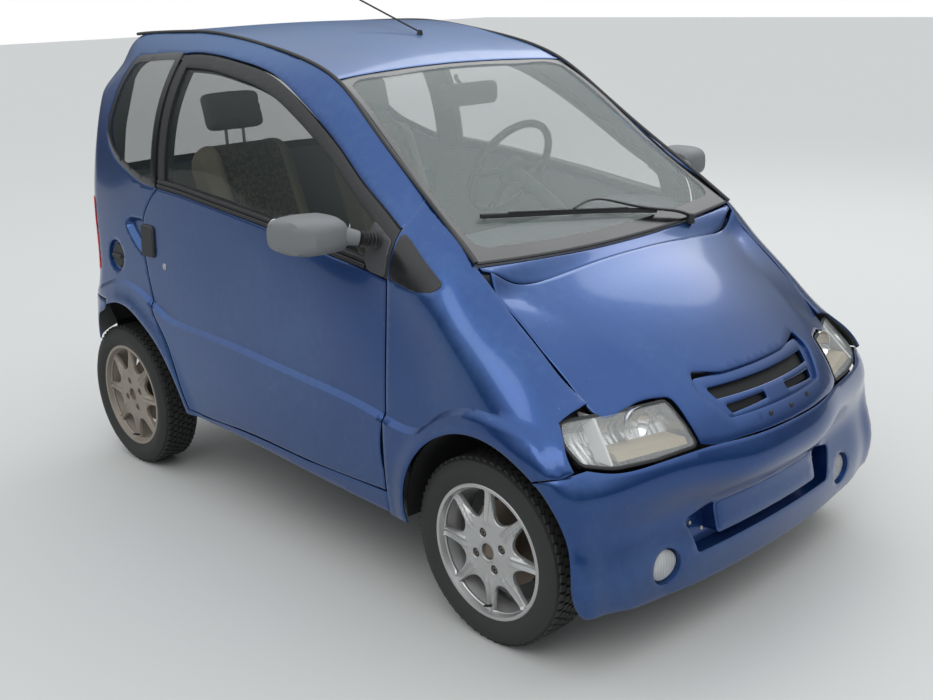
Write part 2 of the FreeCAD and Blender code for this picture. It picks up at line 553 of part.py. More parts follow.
rear_liner = prism_y(inset(REAR_WELL, -5), 438.3, 690).cut(prism_y(REAR_WELL, 443, 700))
rear_liner = rear_liner.cut(box(-1400, -400, 300, 800, 0, 301)).cut(box(-1400, -1100, 300, 800, 0, 425)).common(sides(SIDE_WALL + 1))
rear_liner = biggest(rear_liner.common(profile(SIDE_WALL)))

# Cabin
dash_line = [(541, 600), (700, 660), (704, 925), (560, 985), (430, 990), (390, 900), (420, 640)]
dash = prism_y(dash_line, -620, 620).common(sides(SIDE_WALL + 1)).common(profile(20))
WHEEL_C = V(7, 300, 1040)
WHEEL_AXIS = V(0.882, 0, -0.471)
WHEEL_R = 172.0
GRIP_R = 13.0
grip = [V(WHEEL_R + GRIP_R * math.cos(a), 0, GRIP_R * math.sin(a)) for a in (math.radians(60 * i) for i in range(6))]
grip_ring = Part.Face(Part.makePolygon(grip + grip[:1])).revolve(V(0, 0, 0), V(0, 0, 1), 360)
grip_ring.Placement = FreeCAD.Placement(WHEEL_C, FreeCAD.Rotation(V(0, 0, 1), WHEEL_AXIS))
steering_wheel = grip_ring
steering_wheel = steering_wheel.fuse(Part.makeCylinder(42, 36, WHEEL_C, WHEEL_AXIS))
steering_wheel = steering_wheel.fuse(rod(WHEEL_C + V(8, -168, -4), WHEEL_C + V(8, 168, -4), 11))
steering_wheel = steering_wheel.fuse(rod(WHEEL_C, WHEEL_C + WHEEL_AXIS * 80, 9))
column = rod(WHEEL_C + WHEEL_AXIS * 42, WHEEL_C + WHEEL_AXIS * 460, 26).cut(dash)
column = biggest(column.cut(rod(WHEEL_C, WHEEL_C + WHEEL_AXIS * 100, 9 + RUN)))


def seat(y):
    cushion = prism_y([(-500, 330), (-40, 360), (-20, 500), (-80, 520), (-500, 480)], y - 210, y + 210)
    back = prism_y([(-510, 400), (-400, 430), (-690, 1160), (-760, 1170), (-790, 1120), (-560, 560)], y - 205, y + 205)
    head = prism_y([(-760, 1190), (-700, 1190), (-730, 1320), (-800, 1320)], y - 120, y + 120)
    stalk = prism_y([(-750, 1150), (-735, 1150), (-745, 1210), (-760, 1210)], y - 8, y + 8)
    base = box(-480, -100, y - 160, y + 160, FLOOR_Z + FLOOR_T, 362)
    return cushion.fuse(back).fuse(stalk).fuse(head).fuse(base)


# Door mirror on its plate
MIRROR_BACK = [(250, 735), (262, 868), (300, 868), (430, 840), (436, 800), (425, 728)]
MIRROR_FACE = [(725, 1000), (740, 985), (855, 989), (868, 1002), (868, 1068), (856, 1080), (740, 1080), (725, 1066)]
mirror_house = prism_z(MIRROR_BACK, 900, 1200).common(prism_x(MIRROR_FACE, 200, 500))
mirror_arm = rod(V(437, 622, 1000), V(400, 735, 1030), 22)
mirror_all = mirror_house.fuse(mirror_arm).fuse(mirror_plate)

# Cabin mirror on a stalk from the roof's front edge
roof_under = Part.makeLine(V(52, 20, 1300), V(52, 20, 1500)).common(roof)
STALK_R = 6.0
stalk_top = V(52, 20, roof_under.BoundBox.ZMin - SEAM - 0.4 * STALK_R)
stalk_bend = stalk_top - V(0, 0, 12)
CABIN_MIRROR = [(-95, 1292), (-80, 1278), (120, 1278), (135, 1292), (135, 1332), (120, 1346), (-80, 1346), (-95, 1332)]
cabin_mirror = prism_x(CABIN_MIRROR, 95, 118).fuse(rod(stalk_bend, V(103, 20, 1316), STALK_R))
cabin_mirror = cabin_mirror.fuse(rod(stalk_top, stalk_bend, STALK_R)).fuse(Part.makeSphere(STALK_R, stalk_bend))

# Wiper: pivot boss on the scuttle, arm, and blade along the glass
WIPER_PIVOT = V(740, 310, 0)
WIPER_ELBOW = (620.0, -10.0)
WIPER_BLADE = ((592.0, -420.0), (694.0, 200.0))
WIPER_LIFT = 9.0


def on_screen(x, y, lift):
    line = Part.makeLine(V(x, y, 800), V(x, y, 1500)).common(profile_2)
    return V(x, y, line.BoundBox.ZMax + lift)


scuttle_top = Part.makeLine(V(WIPER_PIVOT.x, WIPER_PIVOT.y, 700), V(WIPER_PIVOT.x, WIPER_PIVOT.y, 1100)).common(scuttle)
pivot = V(WIPER_PIVOT.x, WIPER_PIVOT.y, scuttle_top.BoundBox.ZMax)
pivot_top = pivot + V(0, 0, 30)
elbow = on_screen(WIPER_ELBOW[0], WIPER_ELBOW[1], WIPER_LIFT + 8)
blade_a, blade_b = (on_screen(x, y, WIPER_LIFT) for x, y in WIPER_BLADE)
pivot_boss = rod(pivot - V(0, 0, 8), pivot_top, 9).cut(scuttle_top_form)
wiper = rod(pivot_top - V(0, 0, 6), elbow, 6).fuse(rod(blade_a, blade_b, 5)).fuse(Part.makeSphere(9, elbow))
wiper = wiper.fuse(rod(elbow, on_screen(640, -10, WIPER_LIFT), 5))
wiper = wiper.cut(windscreen).fuse(pivot_boss)

# Under the car: half shafts, and the exhaust from the engine's rear
drive_shaft = rod_y(FRONT_AXLE_X, AXLE_Z, SHAFT_R, 240 + SEAM, 492)
drive_shaft = drive_shaft.fuse(rod_y(FRONT_AXLE_X, AXLE_Z, 32, 240 + SEAM, 268))
PIPE_R = 17.0
exhaust = rod(V(738, -120, 225 - SEAM), V(738, -120, 168), PIPE_R).fuse(Part.makeSphere(PIPE_R, V(738, -120, 168)))
exhaust = exhaust.fuse(rod(V(738, -120, 168), V(500, -120, 168), PIPE_R)).fuse(Part.makeSphere(PIPE_R, V(500, -120, 168)))
exhaust = exhaust.fuse(rod(V(500, -120, 168), V(410, -120, 205), PIPE_R))
exhaust = exhaust.fuse(rod(V(420, -120, 205), V(90, -120, 205), 50))
exhaust = exhaust.fuse(rod(V(90, -120, 205), V(-60, -120, 205), PIPE_R))

probe = Part.makeLine(V(-200, 100, 1400), V(-200, 100, 1600)).common(roof)
antenna_seat = V(-200, 100, probe.BoundBox.ZMax + 0.5)
antenna = Part.makeCone(12, 6, 18, antenna_seat, V(0.2, 0.03, 1))
antenna = antenna.fuse(rod(antenna_seat + V(0, 0, 12), antenna_seat + V(-300, 0, 115), 3))
print("antenna seat", antenna_seat)

NODES = {
    "roof_panel": roof,
    "windscreen": windscreen,
    "bonnet": bonnet,
    "scuttle": scuttle,
    "door_left": door,
    "door_right": mirror(door),
    "door_handle_left": handle,
    "door_handle_right": mirror(handle),
    "door_glass_left": biggest(door_glass),
    "door_glass_right": mirror(biggest(door_glass)),
    "side_frame_left": frame,
    "side_frame_right": frame_right,
    "fuel_cap": fuel_cap,
    "tail_lamps": both(tail_lamp),
    "fixed_side_windows": Part.makeCompound([both(quarter_glass), both(corner_glass)]),
    "fenders": both(fender),
    "bumper_front": bumper,
    "bumper_rear": rear_bumper,
    "headlamps": both(headlamp),
    "headlamp_bowls": both(lamp_bowl),
    "fog_lamps": Part.makeCompound(fog_lamps),
    "hatch": hatch,
    "hatch_window": hatch_glass,
    "tyre_front_left": wheel_at(tyre_ring, FRONT_AXLE_X),
    "tyre_rear_left": wheel_at(tyre_ring, REAR_AXLE_X),
    "tyre_front_right": mirror(wheel_at(tyre_ring, FRONT_AXLE_X)),
    "tyre_rear_right": mirror(wheel_at(tyre_ring, REAR_AXLE_X)),
    "rim_front_left": wheel_at(rim_all, FRONT_AXLE_X),
    "rim_rear_left": wheel_at(rim_all, REAR_AXLE_X),
    "rim_front_right": mirror(wheel_at(rim_all, FRONT_AXLE_X)),
    "rim_rear_right": mirror(wheel_at(rim_all, REAR_AXLE_X)),
    "hub_front_left": wheel_at(hub, FRONT_AXLE_X),
    "hub_rear_left": wheel_at(hub, REAR_AXLE_X),
    "hub_front_right": mirror(wheel_at(hub, FRONT_AXLE_X)),
    "hub_rear_right": mirror(wheel_at(hub, REAR_AXLE_X)),
    "knuckle_left": knuckle,
    "knuckle_right": mirror(knuckle),
    "chassis": chassis,
    "floor_pan": floor,
    "front_arms": both(arm),
    "rear_axle": rear_axle,
    "engine_block": engine,
    "arch_liners": Part.makeCompound([both(liner), both(rear_liner)]),
    "dashboard": biggest(dash),
    "steering_wheel": steering_wheel,
    "steering_column": column,
    "seats": Part.makeCompound([seat(290), seat(-290)]),
    "cabin_mirror": cabin_mirror,
    "wiper": wiper,
    "drive_shafts": both(drive_shaft),
    "exhaust": exhaust,
    "door_mirror_left": mirror_all,
    "door_mirror_right": mirror(mirror_all),
    "antenna": antenna,
}
for name, shape in NODES.items():
    print(name, shape.isValid(), len(shape.Solids), round(shape.Volume / 1e6, 2))
    shape.exportStep("parts/" + name + ".step")
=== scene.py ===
# %% [markdown]
# # A small two-seat city car, dressed over its CAD frame
# The CAD model gives every node, joint and size. This script loads it as a
# frame, and lays finer pieces with real finishes over it, one step at a time.

# %% Load the frame
import math
import bpy
import numpy as np
from mathutils import Matrix, Vector
from mathutils.geometry import delaunay_2d_cdt


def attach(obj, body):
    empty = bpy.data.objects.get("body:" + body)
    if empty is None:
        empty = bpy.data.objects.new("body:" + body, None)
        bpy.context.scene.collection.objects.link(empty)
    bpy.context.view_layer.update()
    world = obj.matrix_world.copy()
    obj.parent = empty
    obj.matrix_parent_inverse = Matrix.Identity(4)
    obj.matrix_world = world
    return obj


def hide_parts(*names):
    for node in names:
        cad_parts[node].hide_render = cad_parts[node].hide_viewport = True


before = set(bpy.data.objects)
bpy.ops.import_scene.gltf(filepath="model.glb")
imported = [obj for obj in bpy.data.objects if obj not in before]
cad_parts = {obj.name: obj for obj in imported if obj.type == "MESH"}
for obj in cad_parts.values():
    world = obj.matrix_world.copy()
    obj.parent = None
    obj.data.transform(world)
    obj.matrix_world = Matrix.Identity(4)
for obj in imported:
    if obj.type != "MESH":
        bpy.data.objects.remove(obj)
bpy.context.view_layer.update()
MM = 0.001
scene = bpy.context.scene

# %% [markdown]
# ## Camera
# The photograph was taken from the car's front right corner, at eye level.
# It could be turned by hand until it looks right, but the place, direction
# and lens are set here as measured numbers, so the perspective is the photo's
# own and stays so.

# %% Camera at the photograph's place
IMAGE_W = 933
FOCAL_PX = 1180.13
AZIMUTH, ELEVATION, ROLL = (math.radians(a) for a in (46.54, 17.27, -1.693))
EYE = Vector((2787.6, -2561.5, 1639.3)) * MM


def camera_axes(azimuth, elevation, roll):
    """Right, up and back of a camera that looks at the car."""
    back = Vector((math.sin(azimuth) * math.cos(elevation),
                   -math.cos(azimuth) * math.cos(elevation), math.sin(elevation)))
    right = Vector((math.cos(azimuth), math.sin(azimuth), 0.0))
    up = back.cross(right)
    c, s = math.cos(roll), math.sin(roll)
    return c * right + s * up, c * up - s * right, back


right, up, back = camera_axes(AZIMUTH, ELEVATION, ROLL)
camera = bpy.data.objects.new("Camera", bpy.data.cameras.new("Camera"))
scene.collection.objects.link(camera)
camera.data.sensor_fit = "HORIZONTAL"
camera.data.sensor_width = 36.0
camera.data.lens = FOCAL_PX / IMAGE_W * camera.data.sensor_width
camera.data.clip_end = 60.0
turn = Matrix((right, up, back)).transposed().to_4x4()
camera.matrix_world = Matrix.Translation(EYE) @ turn
scene.camera = camera
scene.view_settings.view_transform = "Standard"
print("camera lens", round(camera.data.lens, 2), "mm")

# %% [markdown]
# ## Shader maths as plain expressions
# A finish is a formula: wear = noise * height, and so on. A small class wraps
# one socket and adds the Math node for each operator, so that a formula is
# written as one. Colours go through Mix nodes, which keep them coloured.

# %% One socket in a formula


class Value:
    """One number socket that can be used in arithmetic."""

    def __init__(self, tree, socket):
        self.tree, self.socket = tree, socket

    def math(self, operation, other=None, first=None):
        node = self.tree.nodes.new("ShaderNodeMath")
        node.operation = operation
        for place, item in enumerate((self if first is None else first, other if first is None else self)):
            if item is None:
                continue
            if isinstance(item, Value):
                self.tree.links.new(item.socket, node.inputs[place])
            else:
                node.inputs[place].default_value = item
        return Value(self.tree, node.outputs[0])

    def __add__(self, other):
        return self.math("ADD", other)

    __radd__ = __add__

    def __mul__(self, other):
        return self.math("MULTIPLY", other)

    def __sub__(self, other):
        return self.math("SUBTRACT", other)

    def __rsub__(self, other):
        return self.math("SUBTRACT", first=other)

    def at_most(self, other):
        return self.math("MINIMUM", other)


print("operators of a formula:", [name for name in vars(Value) if name[:2] == "__" and callable(getattr(Value, name))])

# %% A material under construction


class Finish:
    """A material under construction."""

    def __init__(self, name, **constants):
        self.material = bpy.data.materials.new(name)
        self.material.use_nodes = True
        self.tree = self.material.node_tree
        self.shader = self.tree.nodes["Principled BSDF"]
        for key, value in constants.items():
            socket = self.shader.inputs[key.replace("_", " ")]
            if socket.type == "RGBA" and len(value) == 3:
                value = (*value, 1.0)
            socket.default_value = value

    def node(self, kind, settings=None, **sockets):
        """Any node: its type, its settings first, then its sockets."""
        node = self.tree.nodes.new("ShaderNode" + kind)
        for key, value in (settings or {}).items():
            setattr(node, key, value)
        for key, value in sockets.items():
            key = key.replace("_", " ")
            socket = next(s for s in node.inputs if s.enabled and s.name == key)
            self.feed(socket, value)
        return node

    def feed(self, socket, value):
        if isinstance(value, Value):
            value = value.socket
        if isinstance(value, bpy.types.NodeSocket):
            self.tree.links.new(value, socket)
        elif socket.type == "RGBA" and hasattr(value, "__len__") and len(value) == 3:
            socket.default_value = (*value, 1.0)
        else:
            socket.default_value = value

    def value(self, socket):
        return Value(self.tree, socket)

    def place(self, scale=(1, 1, 1)):
        """The point on the piece, in the object's own metres."""
        here = self.node("TexCoord").outputs["Object"]
        return self.node("Mapping", Vector=here, Scale=scale).outputs["Vector"]

    def xyz(self):
        parts = self.node("SeparateXYZ", Vector=self.node("TexCoord").outputs["Object"])
        return [self.value(parts.outputs[i]) for i in range(3)]

    def noise(self, scale, detail=4.0, roughness=0.5, stretch=(1, 1, 1)):
        node = self.node("TexNoise", Vector=self.place(stretch), Scale=scale, Detail=detail, Roughness=roughness)
        return self.value(node.outputs["Fac"])

    def step(self, value, low, high):
        """0 below low, 1 above high, and smooth between."""
        node = self.node("MapRange", {"interpolation_type": "SMOOTHSTEP"}, Value=value)
        node.inputs["From Min"].default_value = low
        node.inputs["From Max"].default_value = high
        return self.value(node.outputs["Result"])

    def mix(self, factor, a, b):
        """Colour a where the factor is 0, colour b where it is 1."""
        node = self.node("Mix", {"data_type": "RGBA"})
        self.feed(node.inputs[0], factor)
        self.feed(node.inputs[6], a)
        self.feed(node.inputs[7], b)
        return node.outputs[2]

    def bump(self, height, distance, strength=1.0):
        node = self.node("Bump", Height=height, Distance=distance, Strength=strength)
        self.tree.links.new(node.outputs["Normal"], self.shader.inputs["Normal"])

    def set(self, **sockets):
        for key, value in sockets.items():
            self.feed(self.shader.inputs[key.replace("_", " ")], value)
        return self


print("a finish can use", [name for name in vars(Finish) if name[0] != "_"])

# %% [markdown]
# ## Body paint
# The real car has metallic mid-blue paint that the sun has chalked, most of
# all on the roof. The base is a metallic blue under a clear coat; broad noise
# and the height over the floor thin the coat and lift the colour towards a
# chalky blue, and fine speckle stands for the chips.

# %% Paint and plain finishes
BLUE = (0.008, 0.052, 0.2)
CHALK_BLUE = (0.075, 0.16, 0.32)
CHIP_COLOUR = (0.42, 0.5, 0.6)
CHALK_FROM, CHALK_FULL = 1.36, 1.5
GRAIN_SCALE = 900.0


def body_paint():
    f = Finish("Blue paint", Metallic=0.8, Roughness=0.34, Coat_Weight=0.6, Coat_Roughness=0.1)
    height = f.xyz()[2]
    broad = f.noise(2.3, 5.0, 0.6)
    fine = f.noise(38.0, 6.0, 0.65)
    chips = f.noise(210.0, 2.0, 0.5)
    worn = f.step(broad + fine * 0.35, 0.62, 0.95)
    roof = f.step(height, CHALK_FROM, CHALK_FULL) * 0.6
    chalk = (worn * 0.35 + roof).at_most(0.85)
    colour = f.mix(chalk, BLUE, CHALK_BLUE)
    spots = f.step(chips, 0.735, 0.76) * f.step(fine, 0.5, 0.62)
    colour = f.mix(spots * 0.6, colour, CHIP_COLOUR)
    f.set(Base_Color=colour, Roughness=0.3 + chalk * 0.3, Coat_Weight=0.75 - chalk * 0.5)
    return f.material


def plain(name, colour, roughness, metallic=0.0, grain=0.0, **more):
    """One colour with a little dust, and a fine grain where it is asked for, in metres."""
    f = Finish(name, Base_Color=colour, Roughness=roughness, Metallic=metallic, **more)
    dust = f.noise(6.0, 5.0, 0.6)
    f.set(Base_Color=f.mix(dust * 0.35, colour, tuple(min(1.0, c * 1.5 + 0.012) for c in colour)),
          Roughness=(dust * 0.16 + (roughness - 0.06)))
    if grain:
        f.bump(f.noise(GRAIN_SCALE, 3.0, 0.5), grain)
    return f.material


PAINT = body_paint()
RUBBER = plain("Black rubber trim", (0.012, 0.012, 0.013), 0.5)
BLACK_PLASTIC = plain("Black grained plastic", (0.016, 0.016, 0.017), 0.55, grain=0.0002)
DARK_PLASTIC = plain("Dark grey door plate", (0.045, 0.046, 0.05), 0.6, grain=0.0002)
TRIM_GREY = plain("Grey cabin trim", (0.2, 0.2, 0.195), 0.75)
MIRROR_GREY = plain("Weathered grey plastic", (0.16, 0.165, 0.17), 0.62, grain=0.0002)
CHASSIS_BLACK = plain("Black chassis paint", (0.02, 0.02, 0.021), 0.5)
CAST = plain("Cast iron", (0.05, 0.046, 0.043), 0.6, metallic=0.6)


def clear_glass(name, tint, alpha):
    f = Finish(name, Base_Color=tint, Roughness=0.02, Alpha=alpha, IOR=1.45, Coat_Weight=0.3)
    return f.material


GLASS = clear_glass("Side glass", (0.04, 0.05, 0.048), 0.22)
# The windscreen's pale greenish tint is partly the glass's own tint and partly a painted reflection of the sky, which
# makes it read milky.
SCREEN_GLASS_WITH_PAINTED_REFLECTION = clear_glass("Windscreen glass", (0.3, 0.36, 0.35), 0.2)
print("materials so far:", len(bpy.data.materials))

# %% [markdown]
# ## The body as a field
# The car's skin is one smooth form that is split into panels. Instead of
# pushing vertices about, the form is written as a function that is positive
# inside the body: the least of four distances, to the side, the top, the
# front and the rear, blended where they meet. Each distance comes from a
# short table of the lines a designer would draw, with smooth curves between.

# %% Smooth curves through table rows


def slopes(x, v):
    """Slopes of the natural cubic spline through v at x, along the last axis."""
    x, v = np.broadcast_arrays(x, v)
    n = x.shape[-1]
    h = np.diff(x, axis=-1)
    d = np.diff(v, axis=-1) / h
    low, mid, high, rhs = (np.zeros(x.shape) for _ in range(4))
    mid[..., 0], high[..., 0], rhs[..., 0] = 2.0, 1.0, 3.0 * d[..., 0]
    mid[..., -1], low[..., -1], rhs[..., -1] = 2.0, 1.0, 3.0 * d[..., -1]
    low[..., 1:-1], high[..., 1:-1] = h[..., 1:], h[..., :-1]
    mid[..., 1:-1] = 2.0 * (h[..., 1:] + h[..., :-1])
    rhs[..., 1:-1] = 3.0 * (h[..., 1:] * d[..., :-1] + h[..., :-1] * d[..., 1:])
    for i in range(1, n):
        w = low[..., i] / mid[..., i - 1]
        mid[..., i] -= w * high[..., i - 1]
        rhs[..., i] -= w * rhs[..., i - 1]
    m = np.zeros(x.shape)
    m[..., -1] = rhs[..., -1] / mid[..., -1]
    for i in range(n - 2, -1, -1):
        m[..., i] = (rhs[..., i] - high[..., i] * m[..., i + 1]) / mid[..., i]
    return m


def curve(x, v, m, q):
    """The spline's value at q. x, v and m have one row for each q, or one row in all."""
    x, v, m = (np.broadcast_to(a, q.shape + a.shape[-1:]) for a in (x, v, m))
    i = np.clip(np.sum(q[..., None] >= x, axis=-1) - 1, 0, x.shape[-1] - 2)[..., None]
    take = lambda a, k: np.take_along_axis(a, i + k, -1)[..., 0]
    x0, x1, v0, v1, m0, m1 = take(x, 0), take(x, 1), take(v, 0), take(v, 1), take(m, 0), take(m, 1)
    h = x1 - x0
    t = (q - x0) / h
    u = np.clip(t, 0.0, 1.0)
    inside = (v0 * (1 + 2 * u) * (1 - u) ** 2 + v1 * u * u * (3 - 2 * u)
              + h * (m0 * u * (1 - u) ** 2 - m1 * u * u * (1 - u)))
    return inside + np.where(t < 0, t * h * m0, 0.0) + np.where(t > 1, (t - 1) * h * m1, 0.0)


def line(points):
    """A function of one number from (x, value) pairs."""
    x, v = np.array(points, float).T
    m = slopes(x, v)
    return lambda q: curve(x, v, m, np.asarray(q, float))


def smooth_least(a, b, r):
    """The smaller of a and b, rounded over where they meet within r."""
    d = np.maximum(r - np.abs(a - b), 0.0)
    return np.minimum(a, b) - d * d / (4.0 * r)


def ease(t):
    t = np.clip(t, 0.0, 1.0)
    return t * t * (3.0 - 2.0 * t)


print("spline test:", round(float(line([(0, 0), (1, 1), (2, 0)])(1.0)), 3))

# %% The lines of the body's side, in millimetres
# Columns: x, then (y, z) of the floor line, the sill, the waist, the belt
# under the windows, the top of the windows, the drip line and a line above.
SIDE_LINES = [
    (-1340, (610, 150), (640, 300), (648, 620), (612, 1035), (470, 1440), (405, 1500), (335, 1555)),
    (-1180, (640, 150), (668, 300), (675, 620), (635, 1036), (487, 1440), (432, 1502), (362, 1557)),
    (-1013, (652, 150), (680, 300), (687, 620), (651, 1037), (500, 1441), (450, 1504), (380, 1559)),
    (-800, (658, 150), (683, 300), (691, 620), (662, 1037), (512, 1445), (453, 1510), (383, 1565)),
    (-597, (660, 150), (683, 300), (692, 620), (668, 1035), (520, 1447), (455, 1513), (385, 1568)),
    (-165, (660, 150), (683, 298), (692, 610), (669, 998), (526, 1398), (462, 1464), (392, 1522)),
    (82, (660, 150), (683, 285), (692, 600), (669, 968), (545, 1291), (472, 1389), (405, 1460)),
    (294, (660, 150), (683, 280), (692, 590), (669, 936), (577, 1148), (496, 1250), (420, 1330)),
    (407, (660, 150), (683, 276), (692, 585), (669, 905), (600, 1076), (511, 1169), (430, 1240)),
    (560, (660, 150), (683, 270), (692, 578), (672, 850), (632, 990), (530, 1068), (440, 1125)),
    (682, (660, 150), (683, 265), (692, 570), (680, 790), (650, 908), (547, 988), (450, 1040)),
    (760, (660, 150), (683, 262), (693, 560), (686, 742), (648, 842), (549, 907), (450, 950)),
    (840, (660, 150), (683, 260), (693, 550), (687, 700), (640, 785), (546, 841), (440, 880)),
    (917, (660, 150), (683, 258), (692, 540), (686, 655), (632, 728), (543, 780), (430, 815)),
    (1000, (660, 150), (683, 255), (692, 530), (684, 615), (624, 668), (534, 710), (420, 740)),
    (1100, (652, 150), (676, 252), (684, 510), (674, 580), (612, 622), (518, 652), (400, 675)),
    (1340, (620, 150), (644, 248), (650, 490), (640, 550), (580, 590), (490, 615), (380, 635)),
]
print("the side is drawn at", len(SIDE_LINES), "places")

# %% The ledge and the wheel arches
# The ledge along the sides and the crests of the flares: below this line the
# body stands prouder by one step. Columns: x, z.
LEDGE_LINE = [
    (-1340, 640), (-1120, 640), (-1015, 672), (-963, 690), (-888, 699), (-787, 690), (-695, 660),
    (-605, 625), (-540, 616), (-380, 611), (-223, 605), (134, 583), (471, 554), (600, 541),
    (640, 551), (690, 590), (757, 628), (847, 650), (932, 646), (1029, 619), (1090, 560),
    (1150, 500), (1340, 300),
]
STEP_OUT, STEP_HEIGHT, LIP_OUT, LIP_WIDTH = 14.0, 15.0, 9.0, 60.0
FRONT_ARCH = (860.0, 296.0, 290.0)
REAR_ARCH = [
    (-1107, 462), (-1054, 560), (-1000, 596), (-935, 614), (-852, 612), (-767, 579), (-685, 530),
    (-611, 457), (-556, 369), (-523, 300),
]
print("wheel arch in front at x", FRONT_ARCH[0], "with a radius of", FRONT_ARCH[2], "mm")

# %% The lines of the roof, the windscreen and the bonnet
# Roof and windscreen. Columns: y, then (x, z) from the tail to the screen's foot.
ROOF_LINES = [
    (0, (-1340, 1440), (-1180, 1487), (-1013, 1510), (-800, 1522), (-544, 1525), (-330, 1507), (-185, 1481),
     (49, 1407), (400, 1183), (743, 948), (900, 843)),
    (300, (-1340, 1432), (-1180, 1480), (-1013, 1506), (-800, 1517), (-544, 1520), (-330, 1501), (-185, 1474),
     (62, 1400), (400, 1180), (734, 953), (900, 842)),
    (460, (-1340, 1420), (-1180, 1472), (-1013, 1503), (-800, 1511), (-544, 1513), (-330, 1493), (-185, 1465),
     (80, 1391), (400, 1176), (719, 962), (900, 840)),
    (551, (-1340, 1405), (-1180, 1462), (-1013, 1496), (-800, 1505), (-544, 1507), (-330, 1487), (-185, 1459),
     (92, 1386), (400, 1174), (711, 967), (900, 838)),
    (700, (-1340, 1390), (-1180, 1450), (-1013, 1486), (-800, 1496), (-544, 1498), (-330, 1478), (-185, 1450),
     (100, 1380), (400, 1170), (700, 972), (900, 835)),
]
# Bonnet: heights of its middle, its crease and its side edge, against x.
BONNET_MID = [(690, 985), (743, 950), (797, 918), (900, 872), (1000, 820), (1100, 758),
              (1205, 676), (1257, 618), (1300, 550), (1360, 430)]
BONNET_CREASE = [(690, 940), (743, 905), (833, 851), (1011, 766), (1121, 697), (1214, 622), (1262, 560), (1360, 400)]
BONNET_CREASE_Y = [(690, 520), (743, 500), (833, 450), (1011, 370), (1121, 330), (1214, 290), (1360, 250)]
BONNET_EDGE = [(690, 972), (731, 928), (820, 857), (917, 779), (1000, 706), (1051, 652),
               (1120, 592), (1180, 530), (1360, 320)]
BONNET_EDGE_Y = 548.0
print("the roof is drawn by", len(ROOF_LINES), "lines to each side, the bonnet by 3")

# %% The lines of the front and the rear
# Front and rear faces: x against y, at heights z.
FRONT_Z = (150, 215, 270, 335, 372, 412, 470, 545, 618, 700)
FRONT_FACE = [
    (0, (1236, 1247, 1251, 1244, 1246, 1285, 1320, 1305, 1262, 1180)),
    (200, (1230, 1241, 1245, 1234, 1234, 1266, 1299, 1281, 1238, 1160)),
    (311, (1222, 1233, 1235, 1220, 1216, 1232, 1262, 1246, 1206, 1130)),
    (450, (1204, 1216, 1217, 1204, 1198, 1206, 1222, 1206, 1160, 1096)),
    (551, (1190, 1202, 1204, 1190, 1182, 1184, 1194, 1180, 1130, 1062)),
    (620, (1174, 1186, 1188, 1174, 1166, 1164, 1170, 1156, 1100, 1036)),
    (680, (1166, 1180, 1182, 1166, 1154, 1146, 1136, 1116, 1060, 1000)),
    (740, (1130, 1144, 1146, 1132, 1120, 1108, 1090, 1056, 1000, 930)),
]
REAR_Z = (150, 440, 600, 700, 942, 1182, 1377, 1480)
REAR_FACE = [
    (0, (-1290, -1318, -1319, -1302, -1290, -1272, -1245, -1225)),
    (311, (-1284, -1311, -1310, -1292, -1280, -1260, -1230, -1208)),
    (450, (-1264, -1292, -1288, -1266, -1255, -1230, -1194, -1168)),
    (551, (-1226, -1255, -1248, -1222, -1213, -1183, -1142, -1112)),
    (620, (-1176, -1205, -1196, -1166, -1160, -1124, -1077, -1042)),
    (680, (-1110, -1140, -1128, -1094, -1090, -1046, -994, -955)),
    (740, (-1010, -1040, -1028, -990, -988, -940, -890, -850)),
]
# Where roof and bonnet meet, and the roundings between the four surfaces.
SCREEN_FOOT, SCREEN_BLEND = 736.0, 44.0
FACE_ROUND, TOP_ROUND, NOSE_ROUND = 30.0, 5.0, 22.0
TAIL_ROUND, TAIL_TOP_ROUND = 40.0, 150.0
print("front drawn at", len(FRONT_Z), "heights, rear at", len(REAR_Z))

# %% Surfaces through the lines


class Sheet:
    """A surface drawn by lines: each row is a place, then the (along, value) pairs of its lines."""

    def __init__(self, rows, both_sides=False):
        rows = [(r[0], np.array(r[1:], float)) for r in rows]
        if both_sides:
            rows = [(-p, a) for p, a in reversed(rows) if p > 0] + rows
        self.place = np.array([p for p, a in rows], float)
        self.lines = np.array([a for p, a in rows]).transpose(1, 2, 0)
        self.slope = slopes(self.place, self.lines)

    def section(self, q):
        shape = self.lines.shape[:2]
        out = np.empty(q.shape + shape)
        for i in range(shape[0]):
            for j in range(shape[1]):
                out[..., i, j] = curve(self.place, self.lines[i, j], self.slope[i, j], q)
        return out

    def __call__(self, q, at, along=0):
        s = self.section(q)
        x, v = s[..., along], s[..., 1 - along]
        return curve(x, v, slopes(x, v), at)


def face_rows(rows, heights):
    return [(y, *zip(heights, xs)) for y, xs in rows]


side_sheet = Sheet(SIDE_LINES)
roof_sheet = Sheet(ROOF_LINES, both_sides=True)
front_sheet = Sheet(face_rows(FRONT_FACE, FRONT_Z), both_sides=True)
rear_sheet = Sheet(face_rows(REAR_FACE, REAR_Z), both_sides=True)
ledge_z = line(LEDGE_LINE)
bonnet_mid, bonnet_crease, bonnet_crease_y, bonnet_edge = (
    line(t) for t in (BONNET_MID, BONNET_CREASE, BONNET_CREASE_Y, BONNET_EDGE))
print("ledge height beside the door", round(float(ledge_z(0.0)), 1), "mm")

# %% Heights and widths of the skin


def away_from(points, x, z):
    """Distance from (x, z) to an open polyline."""
    best = np.full(x.shape, 1e9)
    for (ax, az), (bx, bz) in zip(points, points[1:]):
        dx, dz = bx - ax, bz - az
        t = np.clip(((x - ax) * dx + (z - az) * dz) / (dx * dx + dz * dz), 0, 1)
        best = np.minimum(best, np.hypot(x - ax - t * dx, z - az - t * dz))
    return best


